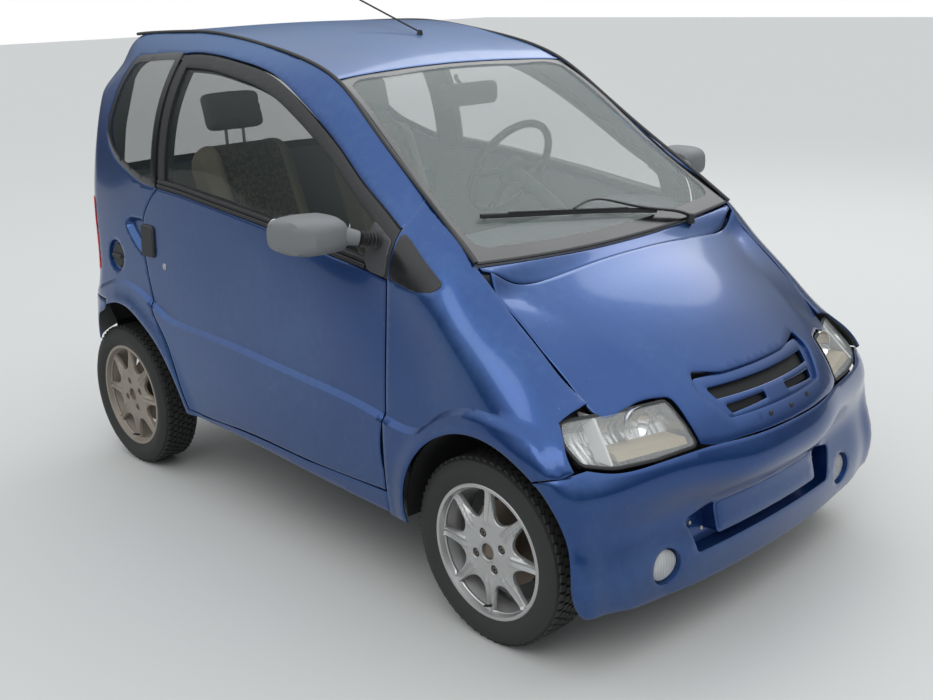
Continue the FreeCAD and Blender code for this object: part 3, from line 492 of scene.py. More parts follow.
def bonnet_height(x, y):
    """The bonnet falls gently from its middle to a crease, and faster beyond it."""
    total = 0.0
    for shift in (-9, -3, 3, 9):
        a = np.abs(y + shift)
        yc = bonnet_crease_y(x)
        mid, crease, edge = bonnet_mid(x), bonnet_crease(x), bonnet_edge(x)
        inner = mid + (crease - mid) * (a / yc) ** 2
        t = (a - yc) / (BONNET_EDGE_Y - yc)
        outer = crease + (edge - crease) * t
        total = total + np.where(a < yc, inner, outer)
    return total / 4.0


def top_height(x, y):
    share = ease((x - SCREEN_FOOT) / SCREEN_BLEND)
    roof = roof_sheet(np.minimum(np.abs(y), 700), np.minimum(x, 900))
    return roof * (1 - share) + bonnet_height(np.maximum(x, 690), y) * share


def side_width(x, z):
    return side_sheet(x, z, along=1)


def step_out(x, z):
    """How far the skin stands out below the ledge: most at the lips of the wheel arches."""
    ax, az, ar = FRONT_ARCH
    front_lip = np.abs(np.hypot(x - ax, z - az) - ar)
    lip = np.minimum(front_lip, away_from(REAR_ARCH, x, z))
    return STEP_OUT + LIP_OUT * ease(1 - lip / LIP_WIDTH)


print("roof height over the middle", np.round(top_height(np.array([-544.0, 49.0, 743.0]), np.zeros(3))), "mm")

# %% Charts that make the skin quick to ask


class Chart:
    """Values of a function of two numbers, kept on a fine even grid."""

    def __init__(self, function, u_range, v_range, step=4.0):
        self.low = np.array([u_range[0], v_range[0]], float)
        self.step = step
        us, vs = (np.arange(low, high + step, step, float) for low, high in (u_range, v_range))
        self.values = function(*np.meshgrid(us, vs, indexing="ij"))

    def __call__(self, u, v):
        places = []
        for q, low, count in zip((u, v), self.low, self.values.shape):
            places.append(np.clip((q - low) / self.step, 0, count - 1.001))
        (i, j), (a, b) = ([p.astype(int) for p in places], [p - p.astype(int) for p in places])
        t = self.values
        return ((t[i, j] * (1 - a) + t[i + 1, j] * a) * (1 - b)
                + (t[i, j + 1] * (1 - a) + t[i + 1, j + 1] * a) * b)


side_chart = Chart(side_width, (-1400, 1400), (100, 1600))
step_chart = Chart(step_out, (-1400, 1400), (100, 1600))
ledge_x = np.arange(-1400, 1401, 4.0)
ledge_table = ledge_z(ledge_x)
top_chart = Chart(top_height, (-1400, 1400), (0, 740))
front_chart = Chart(front_sheet, (0, 740), (100, 1000))
rear_chart = Chart(rear_sheet, (0, 740), (100, 1600))
print("chart of the top holds", top_chart.values.size, "heights")

# %% The field: the least of four distances


def side_part(p):
    x, z = p[:, 0], p[:, 2]
    below = np.clip((np.interp(x, ledge_x, ledge_table) - z) / STEP_HEIGHT, 0.0, 1.0)
    return side_chart(x, z) + below * step_chart(x, z) - np.abs(p[:, 1])


def top_part(p):
    return (top_chart(p[:, 0], np.abs(p[:, 1])) - p[:, 2]) * 0.8


def front_part(p):
    return front_chart(np.abs(p[:, 1]), p[:, 2]) - p[:, 0]


def rear_part(p):
    return p[:, 0] - rear_chart(np.abs(p[:, 1]), p[:, 2])


def field(p):
    """Positive inside the body, negative outside, about the distance in mm."""
    nose = ease((p[:, 0] - 1000) / 160.0)
    body = smooth_least(side_part(p), top_part(p), TOP_ROUND + NOSE_ROUND * nose)
    body = smooth_least(body, front_part(p), FACE_ROUND)
    tail_round = TAIL_ROUND + TAIL_TOP_ROUND * ease((p[:, 2] - 1300) / 120.0)
    return smooth_least(body, rear_part(p), tail_round)


def fender_form(p):
    """The side and the nose alone: the fenders run clean up to the bonnet's seam."""
    return smooth_least(side_part(p), front_part(p), FACE_ROUND)


def bonnet_form(p):
    return smooth_least(top_part(p), front_part(p), FACE_ROUND)


print("in the middle of the cabin the skin is", round(float(field(np.array([[0.0, 0.0, 800.0]]))[0])), "mm away")

# %% [markdown]
# ## Panels cut from the field
# A panel is drawn as a flat outline in the view where it is simplest: a door
# in the side view, a bonnet from above. Rays through that view find the
# field's skin, a constrained triangulation keeps the edges exact, and the
# sheet gets its real wall, with the edge rolled in a little so that it
# catches the light.

# %% Rays from each view to the skin
HALVINGS = 18


def hit(start, way, depth, shape=field):
    """Points where rays meet the skin, by halving the stretch that holds it."""
    low, high = np.zeros(len(start)), np.full(len(start), float(depth))
    for _ in range(HALVINGS):
        middle = (low + high) / 2
        inside = shape(start + way * middle[:, None]) > 0
        high = np.where(inside, middle, high)
        low = np.where(inside, low, middle)
    return start + way * high[:, None]


class View:
    """Looks at the skin along one direction, with flat coordinates across it."""

    def __init__(self, origin, u, v, way, depth):
        self.origin, self.u, self.v, self.way = (np.array(q, float) for q in (origin, u, v, way))
        self.depth = depth

    def __call__(self, a, shape=field):
        a = np.atleast_2d(np.asarray(a, float))
        start = self.origin + a[:, :1] * self.u + a[:, 1:] * self.v
        return hit(start, self.way, self.depth, shape)

    def flat(self, p):
        return np.column_stack([(p - self.origin) @ self.u, (p - self.origin) @ self.v])


class RoundView:
    """Looks at the skin from all round an upright axis: tenths of a degree from +X, and height."""

    def __init__(self, centre_x):
        self.centre = np.array([centre_x, 0.0, 0.0])

    def __call__(self, a, shape=field):
        a = np.atleast_2d(np.asarray(a, float))
        angle = np.radians(a[:, 0] * 0.1)
        out = np.column_stack([np.cos(angle), np.sin(angle), np.zeros(len(a))])
        start = self.centre + out * 900 + np.column_stack([np.zeros((len(a), 2)), a[:, 1]])
        return hit(start, -out, 880, shape)

    def flat(self, p):
        angle = np.degrees(np.arctan2(p[:, 1], p[:, 0] - self.centre[0]))
        return np.column_stack([angle % 360.0 * 10.0 if self.centre[0] < 0 else angle * 10.0, p[:, 2]])


TILT = math.radians(40)
from_side = View((0, -800, 0), (1, 0, 0), (0, 0, 1), (0, 1, 0), 560)
from_top = View((0, 0, 1700), (1, 0, 0), (0, 1, 0), (0, 0, -1), 1250)
from_front = View((1500, 0, 0), (0, 1, 0), (0, 0, 1), (-1, 0, 0), 800)
from_rear = View((-1500, 0, 0), (0, 1, 0), (0, 0, 1), (1, 0, 0), 800)
from_shoulder = View((0, -900, 900), (1, 0, 0), (0, math.sin(TILT), math.cos(TILT)),
                     (0, math.cos(TILT), -math.sin(TILT)), 1300)
from_behind_above = View((-1500, 0, 1500), (0, 1, 0), (math.sin(TILT), 0, math.cos(TILT)),
                         (math.cos(TILT), 0, -math.sin(TILT)), 1500)
round_front, round_rear = RoundView(700.0), RoundView(-700.0)
print("the side at x 0, z 600 is at", np.round(from_side([(0, 600)])[0], 1), "mm")


def normals(p, shape=field):
    n = np.empty_like(p)
    for axis in range(3):
        d = np.zeros(3)
        d[axis] = 1.5
        n[:, axis] = shape(p - d) - shape(p + d)
    return n / np.maximum(np.linalg.norm(n, axis=1), 1e-9)[:, None]


# %% Outlines


def run(points, step=9.0, smooth=True):
    """A smooth run through points, at even steps."""
    p = np.array(points, float)
    t = np.concatenate([[0], np.cumsum(np.hypot(*np.diff(p, axis=0).T))])
    q = np.linspace(0, t[-1], max(2, int(math.ceil(t[-1] / step)) + 1))
    if len(p) == 2 or not smooth:
        return np.column_stack([np.interp(q, t, p[:, k]) for k in (0, 1)])
    return np.column_stack([curve(t, p[:, k], slopes(t, p[:, k]), q) for k in (0, 1)])


def outline(*runs, step=9.0):
    """A closed outline of smooth runs that meet at corners."""
    parts = []
    for i, points in enumerate(runs):
        following = runs[(i + 1) % len(runs)][0]
        pts = list(points)
        if tuple(pts[-1]) != tuple(following):
            joined = [pts[-1], following]
            parts.append(run(pts, step)[:-1] if len(pts) > 1 else np.empty((0, 2)))
            parts.append(run(joined, step)[:-1])
        else:
            parts.append(run(pts, step)[:-1])
    return np.vstack([p for p in parts if len(p)])


def rounded(points, radius, step=6.0):
    """A closed outline of straight sides with rounded corners."""
    p = [np.array(q, float) for q in points]
    radii = radius if hasattr(radius, "__len__") else [radius] * len(p)
    out = []
    for i in range(len(p)):
        before, here, after = p[i - 1], p[i], p[(i + 1) % len(p)]
        u, v = before - here, after - here
        lu, lv = np.linalg.norm(u), np.linalg.norm(v)
        u, v = u / lu, v / lv
        half = math.acos(float(np.clip(u @ v, -1, 1))) / 2
        cut = min(radii[i] / math.tan(half), 0.49 * lu, 0.49 * lv)
        r = cut * math.tan(half)
        centre = here + (u + v) / np.linalg.norm(u + v) * (r / math.sin(half))
        a, b = here + u * cut - centre, here + v * cut - centre
        start, sweep = math.atan2(a[1], a[0]), math.atan2(a[0] * b[1] - a[1] * b[0], a @ b)
        n = max(2, int(abs(sweep) * r / step) + 1)
        angles = [start + sweep * k / n for k in range(n + 1)]
        out += [centre + r * np.array([math.cos(a), math.sin(a)]) for a in angles]
    return run(ring_of(np.array(out)), step * 1.5, smooth=False)[:-1]


def ring_of(loop):
    """The loop with its first point again at the end."""
    return np.vstack([loop, loop[:1]])


def circle(cx, cy, r, n=32):
    return np.array([(cx + r * math.cos(a), cy + r * math.sin(a))
                     for a in np.linspace(0, 2 * math.pi, n, endpoint=False)])


def area(loop):
    x, y = loop.T
    return 0.5 * float(np.sum(x * np.roll(y, -1) - y * np.roll(x, -1)))


def offset(loop, d):
    """The loop moved inwards by d (outwards for a negative d)."""
    turn = 1.0 if area(loop) > 0 else -1.0
    before, after = np.roll(loop, 1, 0), np.roll(loop, -1, 0)
    u, v = loop - before, after - loop
    u /= np.maximum(np.linalg.norm(u, axis=1), 1e-9)[:, None]
    v /= np.maximum(np.linalg.norm(v, axis=1), 1e-9)[:, None]
    n = np.column_stack([-(u + v)[:, 1], (u + v)[:, 0]]) * turn
    size = np.maximum(np.linalg.norm(n, axis=1), 0.7)[:, None]
    reach = np.minimum(2.0 / size, 1.6) if d > 0 else 1.0
    return loop + n / size * d * reach


def inside(loop, p):
    x, y = p.T
    result = np.zeros(len(p), bool)
    for (ax, ay), (bx, by) in zip(loop, np.roll(loop, -1, 0)):
        if ay == by:
            continue
        crosses = (ay > y) != (by > y)
        result ^= crosses & (x < (bx - ax) * (y - ay) / (by - ay) + ax)
    return result


def near(loop, p, closed=True):
    """Distance from each point to a loop's corners and sides."""
    a = loop if closed else loop[:-1]
    b = np.roll(loop, -1, 0) if closed else loop[1:]
    best = np.full(len(p), 1e9)
    for i in range(0, len(a), 64):
        aa, d = a[i:i + 64], b[i:i + 64] - a[i:i + 64]
        t = np.einsum("pkj,kj->pk", p[:, None] - aa, d) / np.maximum(np.sum(d * d, axis=1), 1e-9)
        t = np.clip(t, 0, 1)[..., None]
        best = np.minimum(best, np.linalg.norm(p[:, None] - aa - t * d, axis=2).min(axis=1))
    return best


print("a 100 mm square with 10 mm corners:", round(area(rounded([(0, 0), (100, 0), (100, 100), (0, 100)], 10))), "mm2")

# %% Finished pieces


def make_piece(name, points, faces, materials, which=None, body="body", slot="paint", nodes=(), sharp=35.0):
    """A finished mesh piece, given in millimetres."""
    mesh = bpy.data.meshes.new(name)
    mesh.from_pydata([tuple(v) for v in np.asarray(points) * MM], [], [tuple(int(i) for i in f) for f in faces])
    for m in materials:
        mesh.materials.append(m)
    if which is not None:
        mesh.polygons.foreach_set("material_index", np.asarray(which, np.int32))
    mesh.shade_smooth()
    mesh.set_sharp_from_angle(angle=math.radians(sharp))
    piece = bpy.data.objects.new(name, mesh)
    scene.collection.objects.link(piece)
    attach(piece, body)
    if nodes:
        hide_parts(*nodes)
    return piece


# %% Triangles inside an outline


def triangulate(loop, holes=(), grid=14.0, rim=2.5, creases=()):
    """Triangles that fill the loop, with exact edges and an even grid."""
    loops = [loop] + list(holes)
    points, edges = [], []

    def add(pts, closed=True):
        base = len(points)
        points.extend(Vector(p) for p in pts)
        n = len(pts)
        edges.extend((base + i, base + (i + 1) % n) for i in range(n if closed else n - 1))

    rings = []
    for k, l in enumerate(loops):
        add(l)
        ring = offset(l, rim if k == 0 else -rim)
        rings.append(ring)
        add(ring)
    for c in creases:
        keep = inside(loop, c) & (near(loop, c) > rim * 2)
        for h in holes:
            keep &= ~inside(h, c) & (near(h, c) > rim * 2)
        piece = []
        for point, ok in zip(c, keep):
            if ok:
                piece.append(point)
            if (not ok or point is c[-1]) and len(piece) > 1:
                add(np.array(piece), closed=False)
                piece = []
        if len(piece) > 1:
            add(np.array(piece), closed=False)
    low, high = loop.min(0), loop.max(0)
    nx, ny = (np.ceil((high - low) / grid).astype(int) + 1)
    gx, gy = np.meshgrid(np.linspace(low[0], high[0], nx), np.linspace(low[1], high[1], ny))
    gx[1::2] += 0.5 * grid
    g = np.column_stack([gx.ravel(), gy.ravel()])
    keep = inside(loop, g)
    for l in loops:
        keep &= near(l, g) > grid * 0.55
    for h in holes:
        keep &= ~inside(h, g)
    for c in creases:
        keep &= near(c, g, closed=False) > grid * 0.4
    points.extend(Vector(p) for p in g[keep])
    flat, _, faces, _, _, _ = delaunay_2d_cdt(points, edges, [], 0, 1e-4, False)
    flat = np.array([tuple(v) for v in flat])
    faces = np.array([f for f in faces if len(f) == 3])
    middle = flat[faces].mean(axis=1)
    keep = inside(loop, middle)
    for h in holes:
        keep &= ~inside(h, middle)
    faces = faces[keep]
    used = np.unique(faces)
    index = np.full(len(flat), -1)
    index[used] = np.arange(len(used))
    return flat[used], index[faces]


print("a disc of 100 mm fills with", len(triangulate(circle(0, 0, 50))[1]), "triangles")

# %% Walls, mirror images and panels


def rim_edges(faces):
    """Directed edges with a face on one side only."""
    e = np.vstack([faces[:, [0, 1]], faces[:, [1, 2]], faces[:, [2, 0]]])
    seen = {(a, b) for a, b in e}
    return np.array([(a, b) for a, b in e if (b, a) not in seen])


def wall_mesh(outer, normal, faces, thick, roll=1.4):
    """A closed sheet with a wall, its outer rim rolled in a little."""
    rim = rim_edges(faces)
    outer = outer.copy()
    at_rim = np.unique(rim)
    inner = outer - normal * thick
    outer[at_rim] -= normal[at_rim] * roll
    n = len(outer)
    points = np.vstack([outer, inner])
    skin = [tuple(f) for f in faces]
    back = [tuple(n + f[::-1]) for f in faces]
    walls = [(b, a, n + a, n + b) for a, b in rim]
    which = [0] * len(skin) + [1] * len(back) + [2] * len(walls)
    return points, skin + back + walls, which


def mirrored(points, faces):
    return points * np.array([1, -1, 1]), [tuple(reversed(f)) for f in faces]


def both_sides(name, points, faces, materials, which=None, bodies=("body", "body"), slot="paint", nodes=None,
               only=None, **more):
    """A piece on the right side and its mirror image on the left, or only one of them."""
    made = []
    for side, body in zip(("right", "left"), bodies):
        if only not in (None, side):
            continue
        pts, fcs = (points, faces) if side == "right" else mirrored(points, faces)
        own = tuple(n.replace("SIDE", side) for n in nodes or ())
        own = own if side == "right" else tuple(n for n in own if side in n)
        made.append(make_piece(name + "_" + side, pts, fcs, materials, which, body, slot, own, **more))
    return made


def panel(name, view, loop, holes=(), thick=4.0, grid=14.0, rim=2.5, roll=1.4, creases=(), zones=(), lift=0.0,
          materials=None, twin=True, bodies=("body", "body"), shape=field, band=(), **more):
    """A panel of the body's skin, with its mirror image where it has a twin."""
    creases = list(creases) + [ring_of(offset(loop, d)) for d in band]
    flat, faces = triangulate(loop, holes, grid, rim, creases)
    p = view(flat, shape)
    n = normals(p, shape)
    p = p + n * lift
    facing = np.cross(p[faces[:, 1]] - p[faces[:, 0]], p[faces[:, 2]] - p[faces[:, 0]])
    if np.sum(facing * n[faces[:, 0]]) < 0:
        faces = faces[:, ::-1]
    points, polygons, which = wall_mesh(p, n, faces, thick, roll)
    middle = flat[faces].mean(axis=1)
    for zone, outer, inner in zones:
        for i in np.nonzero(inside(zone, middle))[0]:
            which[i], which[len(faces) + i] = outer, inner
    materials = materials or [PAINT, BLACK_PLASTIC, PAINT]
    print(name, len(points), "points")
    if twin:
        return both_sides(name, points, polygons, materials, which, bodies, **more)
    return [make_piece(name, points, polygons, materials, which, bodies[0], **more)]


def lifted(view, points, shape=field):
    """Points of the skin over flat points of a view."""
    return view(np.array(points, float), shape)


def flat_points(view, points):
    """Points of the skin as a run in a view."""
    return [tuple(q) for q in view.flat(points)]


def ledge_creases(first, last, step=20):
    """Runs along the top and the foot of the ledge, in the side view."""
    return [run([(x, float(ledge_z(x)) - d) for x in np.arange(first, last, step)], 14) for d in (0, 15)]


print("a run of", len(ledge_creases(500, 1060)[0]), "points marks the ledge on the fender")


# %% [markdown]
# ## Doors
# A thin-walled plastic door carries a black window frame, a fixed pane, a
# double weather strip at the belt and a bevelled black pull in its rear edge.
# A door could be a cut-out from a box; drawn flat and laid on the field, it
# keeps the body's curve by itself. Its rear edge leans over the wheel along the
# crest of the flare, so it is drawn as smooth runs that meet at real corners.

# %% Door skins, window frames and panes
FRIT = plain("Black ceramic border", (0.008, 0.008, 0.009), 0.18)
DOOR_BODIES = ("right_door", "left_door")
BELT = [(-635, 1035), (-500, 1028), (-380, 1017), (-165, 996), (35, 974), (263, 943), (404, 925), (492, 911)]
DOOR_REAR = [(-635, 1035), (-662, 1018), (-700, 978), (-728, 935), (-737, 895), (-733, 830), (-716, 747), (-694, 664)]
DOOR_CREST = [(-694, 664), (-680, 623), (-642, 575), (-595, 511), (-560, 438), (-531, 370), (-509, 322)]
DOOR_FOOT = [(-509, 322), (-420, 318), (-195, 326), (130, 322), (492, 334)]
DOOR_HEAD = [(492, 1035), (407, 1081), (294, 1145), (216, 1199), (115, 1264), (-10, 1334), (-153, 1397),
             (-322, 1431), (-441, 1445), (-603, 1449), (-640, 1446)]
DOOR_PANE = [(398, 962), (398, 1046), (294, 1108), (216, 1161), (115, 1225), (-10, 1294), (-153, 1357),
             (-322, 1393), (-441, 1408), (-592, 1411)]

skin_loop = outline(BELT, [(492, 911), (492, 525)], [(492, 525), (488, 505), (488, 408), (492, 390)],
                    [(492, 390), (492, 334)], DOOR_FOOT[::-1], DOOR_CREST[::-1], DOOR_REAR[::-1])
panel("Door_skin", from_side, skin_loop, thick=46, creases=ledge_creases(-700, 493, 30), band=(8,), bodies=DOOR_BODIES,
      materials=[PAINT, TRIM_GREY, PAINT], nodes=("door_SIDE",))
frame_loop = outline([(492, 914), (492, 1035)], DOOR_HEAD, [(-640, 1446), (-636, 1037)],
                     [(x, z + 2) for x, z in BELT])
pane_foot = [(x, z + 31) for x, z in BELT[1:-1]]
pane_loop = outline([(398, 958), (398, 1046)], DOOR_PANE[1:], [(-592, 1411), (-596, 1065)], pane_foot[:6])
panel("Door_window_frame", from_side, frame_loop, holes=[pane_loop], thick=30, lift=-3, grid=12,
      bodies=DOOR_BODIES, materials=[BLACK_PLASTIC] * 3, slot="black_plastic")
panel("Door_pane", from_side, offset(pane_loop, -4), thick=4, lift=-9, grid=30, bodies=DOOR_BODIES,
      materials=[GLASS] * 3, slot="clear_glass", nodes=("door_glass_SIDE",))
for k, (low, high) in enumerate(((4, 15), (18, 29))):
    strip = outline([(x, z + low) for x, z in BELT[:-1]], [(x, z + high) for x, z in BELT[:-1]][::-1])
    panel("Belt_strip_%d" % k, from_side, strip, thick=10, lift=3.5 - 2 * k, grid=12, rim=2, roll=2,
          bodies=DOOR_BODIES, materials=[RUBBER] * 3, slot="black_plastic")

# %% [markdown]
# ## Side frames
# One moulding on each side holds the sill, the rail over the door, the rear
# quarter with its wheel flare, and the posts. It shares its lines with the
# door and the roof, which keeps the gaps even. The rear quarter window is
# bonded over it, so the moulding ends at the window's edge.

# %% Side frames
BEHIND = 5.0
HATCH_SIDE = [(-561, 616), (-561, 800), (-560, 942), (-556, 1080), (-545, 1200), (-527, 1290), (-508, 1350),
              (-484, 1400), (-454, 1436)]
tail_line = run([(y - BEHIND, z + BEHIND * 0.6) for y, z in HATCH_SIDE], 7)
tail_rim = [(x, z) for x, y, z in lifted(from_rear, tail_line)]
RAIL = [(713, -552), (560, -531), (407, -511), (294, -497), (190, -484), (86, -471), (-60, -467), (-185, -462),
        (-380, -458), (-564, -455), (-735, -450), (-900, -450), (-1043, -452)]
screen_edge, drip = ([(x, z) for x, y, z in lifted(from_top, run(part, 12), top_part)]
                     for part in (RAIL[:6], RAIL[5:]))
rear_arch_edge = [(-1000, 598), (-935, 615), (-852, 613), (-767, 580), (-685, 531), (-611, 458),
                  (-556, 370), (-527, 303)]
quarter_top = [(-650, 1451), (-760, 1448), (-880, 1440), (-960, 1426), (-1006, 1370), (-1030, 1300), (-1040, 1232)]
quarter_foot = [(-1040, 1232), (-1032, 1190), (-1010, 1157), (-940, 1106), (-850, 1073), (-758, 1047), (-645, 1036)]
frame_side = outline(
    [(497, 266), (300, 272), (86, 282), (-174, 295), (-380, 301), (-527, 303)], rear_arch_edge[::-1],
    [(-1000, 598), (-1000, 616)], [(-1000, 616), (tail_rim[0][0], 616)], tail_rim, drip[::-1],
    [p for p in screen_edge[::-1] if p[0] < 480] + [(497, 1108)], [(497, 1108), (497, 1041)],
    [(x, z + BEHIND) for x, z in DOOR_HEAD], quarter_top, quarter_foot, [(-645, 1036), (-642, 1036)],
    [(x - BEHIND, z) for x, z in DOOR_REAR[1:]], [(x - BEHIND, z - 2) for x, z in DOOR_CREST[1:]],
    [(x, z - BEHIND) for x, z in DOOR_FOOT[1:-1]], [(400, 326), (497, 329)])
scoop_loop = rounded([(-738, 802), (-790, 832), (-833, 868), (-866, 903), (-818, 925), (-738, 927)],
                     [10, 30, 30, 16, 30, 8])
fuel_loop = np.array([(-936 + 53 * math.cos(a), 777 + 55 * math.sin(a))
                      for a in np.linspace(0, 2 * math.pi, 40, endpoint=False)])
tail_lamp_loop = rounded([(-1101, 961), (-1076, 824), (-1070, 704), (-1176, 704), (-1188, 961)], [14, 60, 12, 12, 14])
print("side frame outline", len(frame_side), "points")
RAIL_X, RAIL_Y = (np.array(q, float) for q in zip(*RAIL[::-1]))


def below_rail(flat, shape=field):
    """The side view, held outside the gutter line where the skin turns over into the roof."""
    p = from_side(flat, shape)
    edge = np.interp(p[:, 0], RAIL_X, RAIL_Y)
    past = (p[:, 1] > edge) & (p[:, 2] > 850)
    if past.any():
        p[past] = from_top(np.column_stack([p[past, 0], edge[past]]), shape)
    return p


for side, holes in (("right", [scoop_loop, tail_lamp_loop, fuel_loop]), ("left", [scoop_loop, tail_lamp_loop])):
    panel("Side_frame", below_rail, frame_side, holes=holes, thick=22, creases=ledge_creases(-1150, -690), grid=13,
          only=side, materials=[PAINT, TRIM_GREY, PAINT], nodes=("side_frame_SIDE",))

# %% Recesses in the skin


def bowl(name, view, loop, steps, materials, twin=True, **more):
    """A recess in the skin: rings of the loop at (inset, depth) steps, closed by a floor."""
    rings = [offset(loop, inset) if inset else loop for inset, depth in steps]
    flat, faces = triangulate(rings[-1], grid=14.0, rim=3.0)
    n = len(loop)
    base = view(flat)
    points = [base - normals(base) * steps[-1][1]]
    for ring, (inset, depth) in zip(rings[:-1], steps[:-1]):
        p = view(ring)
        points.append(p - normals(p) * depth)
    polygons = [tuple(f) for f in faces]
    nearest = [int(np.argmin(np.sum((flat - q) ** 2, axis=1))) for q in rings[-1]]
    starts = [len(flat) + k * n for k in range(len(steps) - 1)]
    at = [lambda i, s=s: s + i % n for s in starts] + [lambda i: nearest[i % n]]
    for upper, lower in zip(at, at[1:]):
        polygons += [(upper(i), upper(i + 1), lower(i + 1), lower(i)) for i in range(n)]
    points = np.vstack(points)
    first = np.array(polygons[0])
    out = np.cross(points[first[1]] - points[first[0]], points[first[2]] - points[first[0]])
    if out @ normals(points[first[:1]])[0] < 0:
        polygons[:len(faces)] = [tuple(reversed(f)) for f in polygons[:len(faces)]]
    print(name, len(points), "points")
    return (both_sides if twin else make_piece)(name, points, polygons, materials, **more)


# Near-black: the tail lamp's own housing, and painted shade on a sheet behind the grille's slots.
HOUSING_BLACK_AND_PAINTED_SHADE = plain("Dark moulded recess", (0.006, 0.006, 0.007), 0.7)
scoop_steps = [(0.5, 1.5), (5, 9), (11, 17), (14, 20)]
bowl("Handle_scoop", from_side, scoop_loop, scoop_steps, [PAINT], slot="paint")
bowl("Fuel_well", from_side, fuel_loop, [(0, 1.5), (2, 10), (5, 17), (8, 19)], [PAINT], only="right")

# %% Quarter windows, corner windows and lock posts
quarter_loop = outline([(-646, 1036), (-646, 1455)], [(x, z + 4) for x, z in quarter_top],
                       [(x - 2, z) for x, z in quarter_foot])
quarter_clear = offset(quarter_loop, 26)
panel("Quarter_window", from_side, offset(quarter_loop, 1.5), thick=4, lift=0.5, grid=22, creases=[quarter_clear],
      zones=[(quarter_clear, 1, 1)], materials=[FRIT, GLASS, FRIT], slot="clear_glass",
      nodes=("fixed_side_windows",))
corner_loop = rounded([(503, 916), (503, 1034), (560, 1003), (640, 953), (688, 920), (660, 903), (600, 900)],
                      [6, 10, 40, 20, 14, 26, 40])
panel("Corner_window", from_side, corner_loop, thick=4, lift=1.5, grid=20, roll=2.0,
      materials=[FRIT] * 3, slot="clear_glass")
post_loop = outline([(-596, 1030), (-596, 1440)], [(-596, 1440), (-706, 1440)], [(-706, 1440), (-706, 1034)])
panel("Lock_post", from_side, post_loop, thick=26, lift=-12, grid=30, materials=[BLACK_PLASTIC] * 3,
      slot="black_plastic")

# %% [markdown]
# ## Roof, rain gutters and windscreen
# The roof is a single shallow moulding with a black gutter strip on each
# side, from the tail to the foot of the windscreen. The windscreen is bonded
# glass with a black printed border, widest along its foot. Rings of points
# just inside the edges keep the rolled edges even, where a grid alone would
# leave them scalloped.

# %% Roof
roof_rim = [(82, -468), (-185, -459), (-564, -452), (-735, -447), (-900, -449), (-1043, -455)]
roof_front = [(49, 0), (53, -150), (62, -300), (74, -420), (82, -468)]
roof_back = [(-1043, -455), (-1043, 0)]


def whole(*runs):
    """A plan or front outline from runs of its right half, which starts and ends on the middle line."""
    left = [[(x, -y) for x, y in r[::-1]] for r in runs[::-1]]
    return outline(*runs, *left)


def whole_front(*runs):
    """The same for outlines whose first number goes across the car."""
    left = [[(-y, z) for y, z in r[::-1]] for r in runs[::-1]]
    return outline(*runs, *left)


def tidy_loop(loop, least=1.0):
    """The loop without points that lie closer together than least."""
    keep = [loop[0]]
    for q in loop[1:]:
        if np.hypot(*(q - keep[-1])) > least:
            keep.append(q)
    return np.array(keep if np.hypot(*(keep[0] - keep[-1])) > least else keep[:-1])


roof_loop = tidy_loop(whole(roof_front, roof_rim, roof_back))
panel("Roof_panel", from_top, roof_loop, thick=24, grid=18, band=(9, 18), twin=False,
      materials=[PAINT, TRIM_GREY, PAINT], nodes=("roof_panel",))

# %% Windscreen
screen_head = [(52, 0), (56, -150), (65, -300), (77, -420), (86, -464)]
screen_rim = [(86, -464), (294, -491), (407, -504), (560, -524), (700, -543), (713, -546)]
screen_foot = [(713, -546), (722, -450), (734, -300), (742, -150), (744, 0)]
screen_loop = tidy_loop(whole(screen_head, screen_rim, screen_foot))
clear_loop = tidy_loop(whole([(72, 0), (77, -150), (87, -300), (100, -418), (118, -444)],
                             [(118, -444), (294, -468), (407, -481), (560, -501), (640, -508)],
                             [(640, -508), (664, -496), (678, -450), (692, -300), (700, -150), (702, 0)]))
panel("Windscreen", from_top, screen_loop, thick=5, grid=14, band=(7,), lift=-1, creases=[ring_of(clear_loop)],
      zones=[(clear_loop, 1, 1)], twin=False, materials=[FRIT, SCREEN_GLASS_WITH_PAINTED_REFLECTION, FRIT], slot="clear_glass",
      nodes=("windscreen",), shape=top_part)

# %% Rain gutters


def tube(path, radius, sides=12, flat=1.0, up=(0, 0, 1)):
    """Points and faces of a round or flattened bar along a path."""
    p = np.array(path, float)
    ahead = np.roll(p, -1, 0) - np.roll(p, 1, 0)
    ahead[0], ahead[-1] = p[1] - p[0], p[-1] - p[-2]
    ahead /= np.linalg.norm(ahead, axis=1)[:, None]
    side = np.cross(ahead, np.array(up, float))
    side /= np.maximum(np.linalg.norm(side, axis=1), 1e-6)[:, None]
    over = np.cross(side, ahead)
    radii = np.broadcast_to(np.asarray(radius, float), len(p))
    angles = np.linspace(0, 2 * math.pi, sides, endpoint=False)
    rings = [p + (side * math.cos(a) + over * math.sin(a) * flat) * radii[:, None] for a in angles]
    points = np.stack(rings, axis=1).reshape(-1, 3)
    n = len(p)
    faces = []
    for i in range(n - 1):
        a, b = i * sides, (i + 1) * sides
        faces += [(a + k, b + k, b + (k + 1) % sides, a + (k + 1) % sides) for k in range(sides)]
    faces += [tuple(range(sides)), tuple(reversed(range((n - 1) * sides, n * sides)))]
    return points, [tuple(reversed(f)) for f in faces]


GUTTER = [(711, -553, 968), (560, -533, 1072), (407, -513, 1173), (240, -492, 1290),
          (82, -472, 1393), (-41, -467, 1436), (-185, -463, 1466), (-319, -461, 1487), (-564, -456, 1513),
          (-735, -451, 1514), (-900, -450, 1510), (-1013, -451, 1505), (-1042, -452, 1503)]


def through_points(points, step=16.0):
    """Even steps along a smooth curve through points in space."""
    p = np.array(points, float)
    t = np.concatenate([[0], np.cumsum(np.linalg.norm(np.diff(p, axis=0), axis=1))])
    q = np.linspace(0, t[-1], int(t[-1] / step) + 2)
    return np.column_stack([curve(t, p[:, k], slopes(t, p[:, k]), q) for k in range(3)])


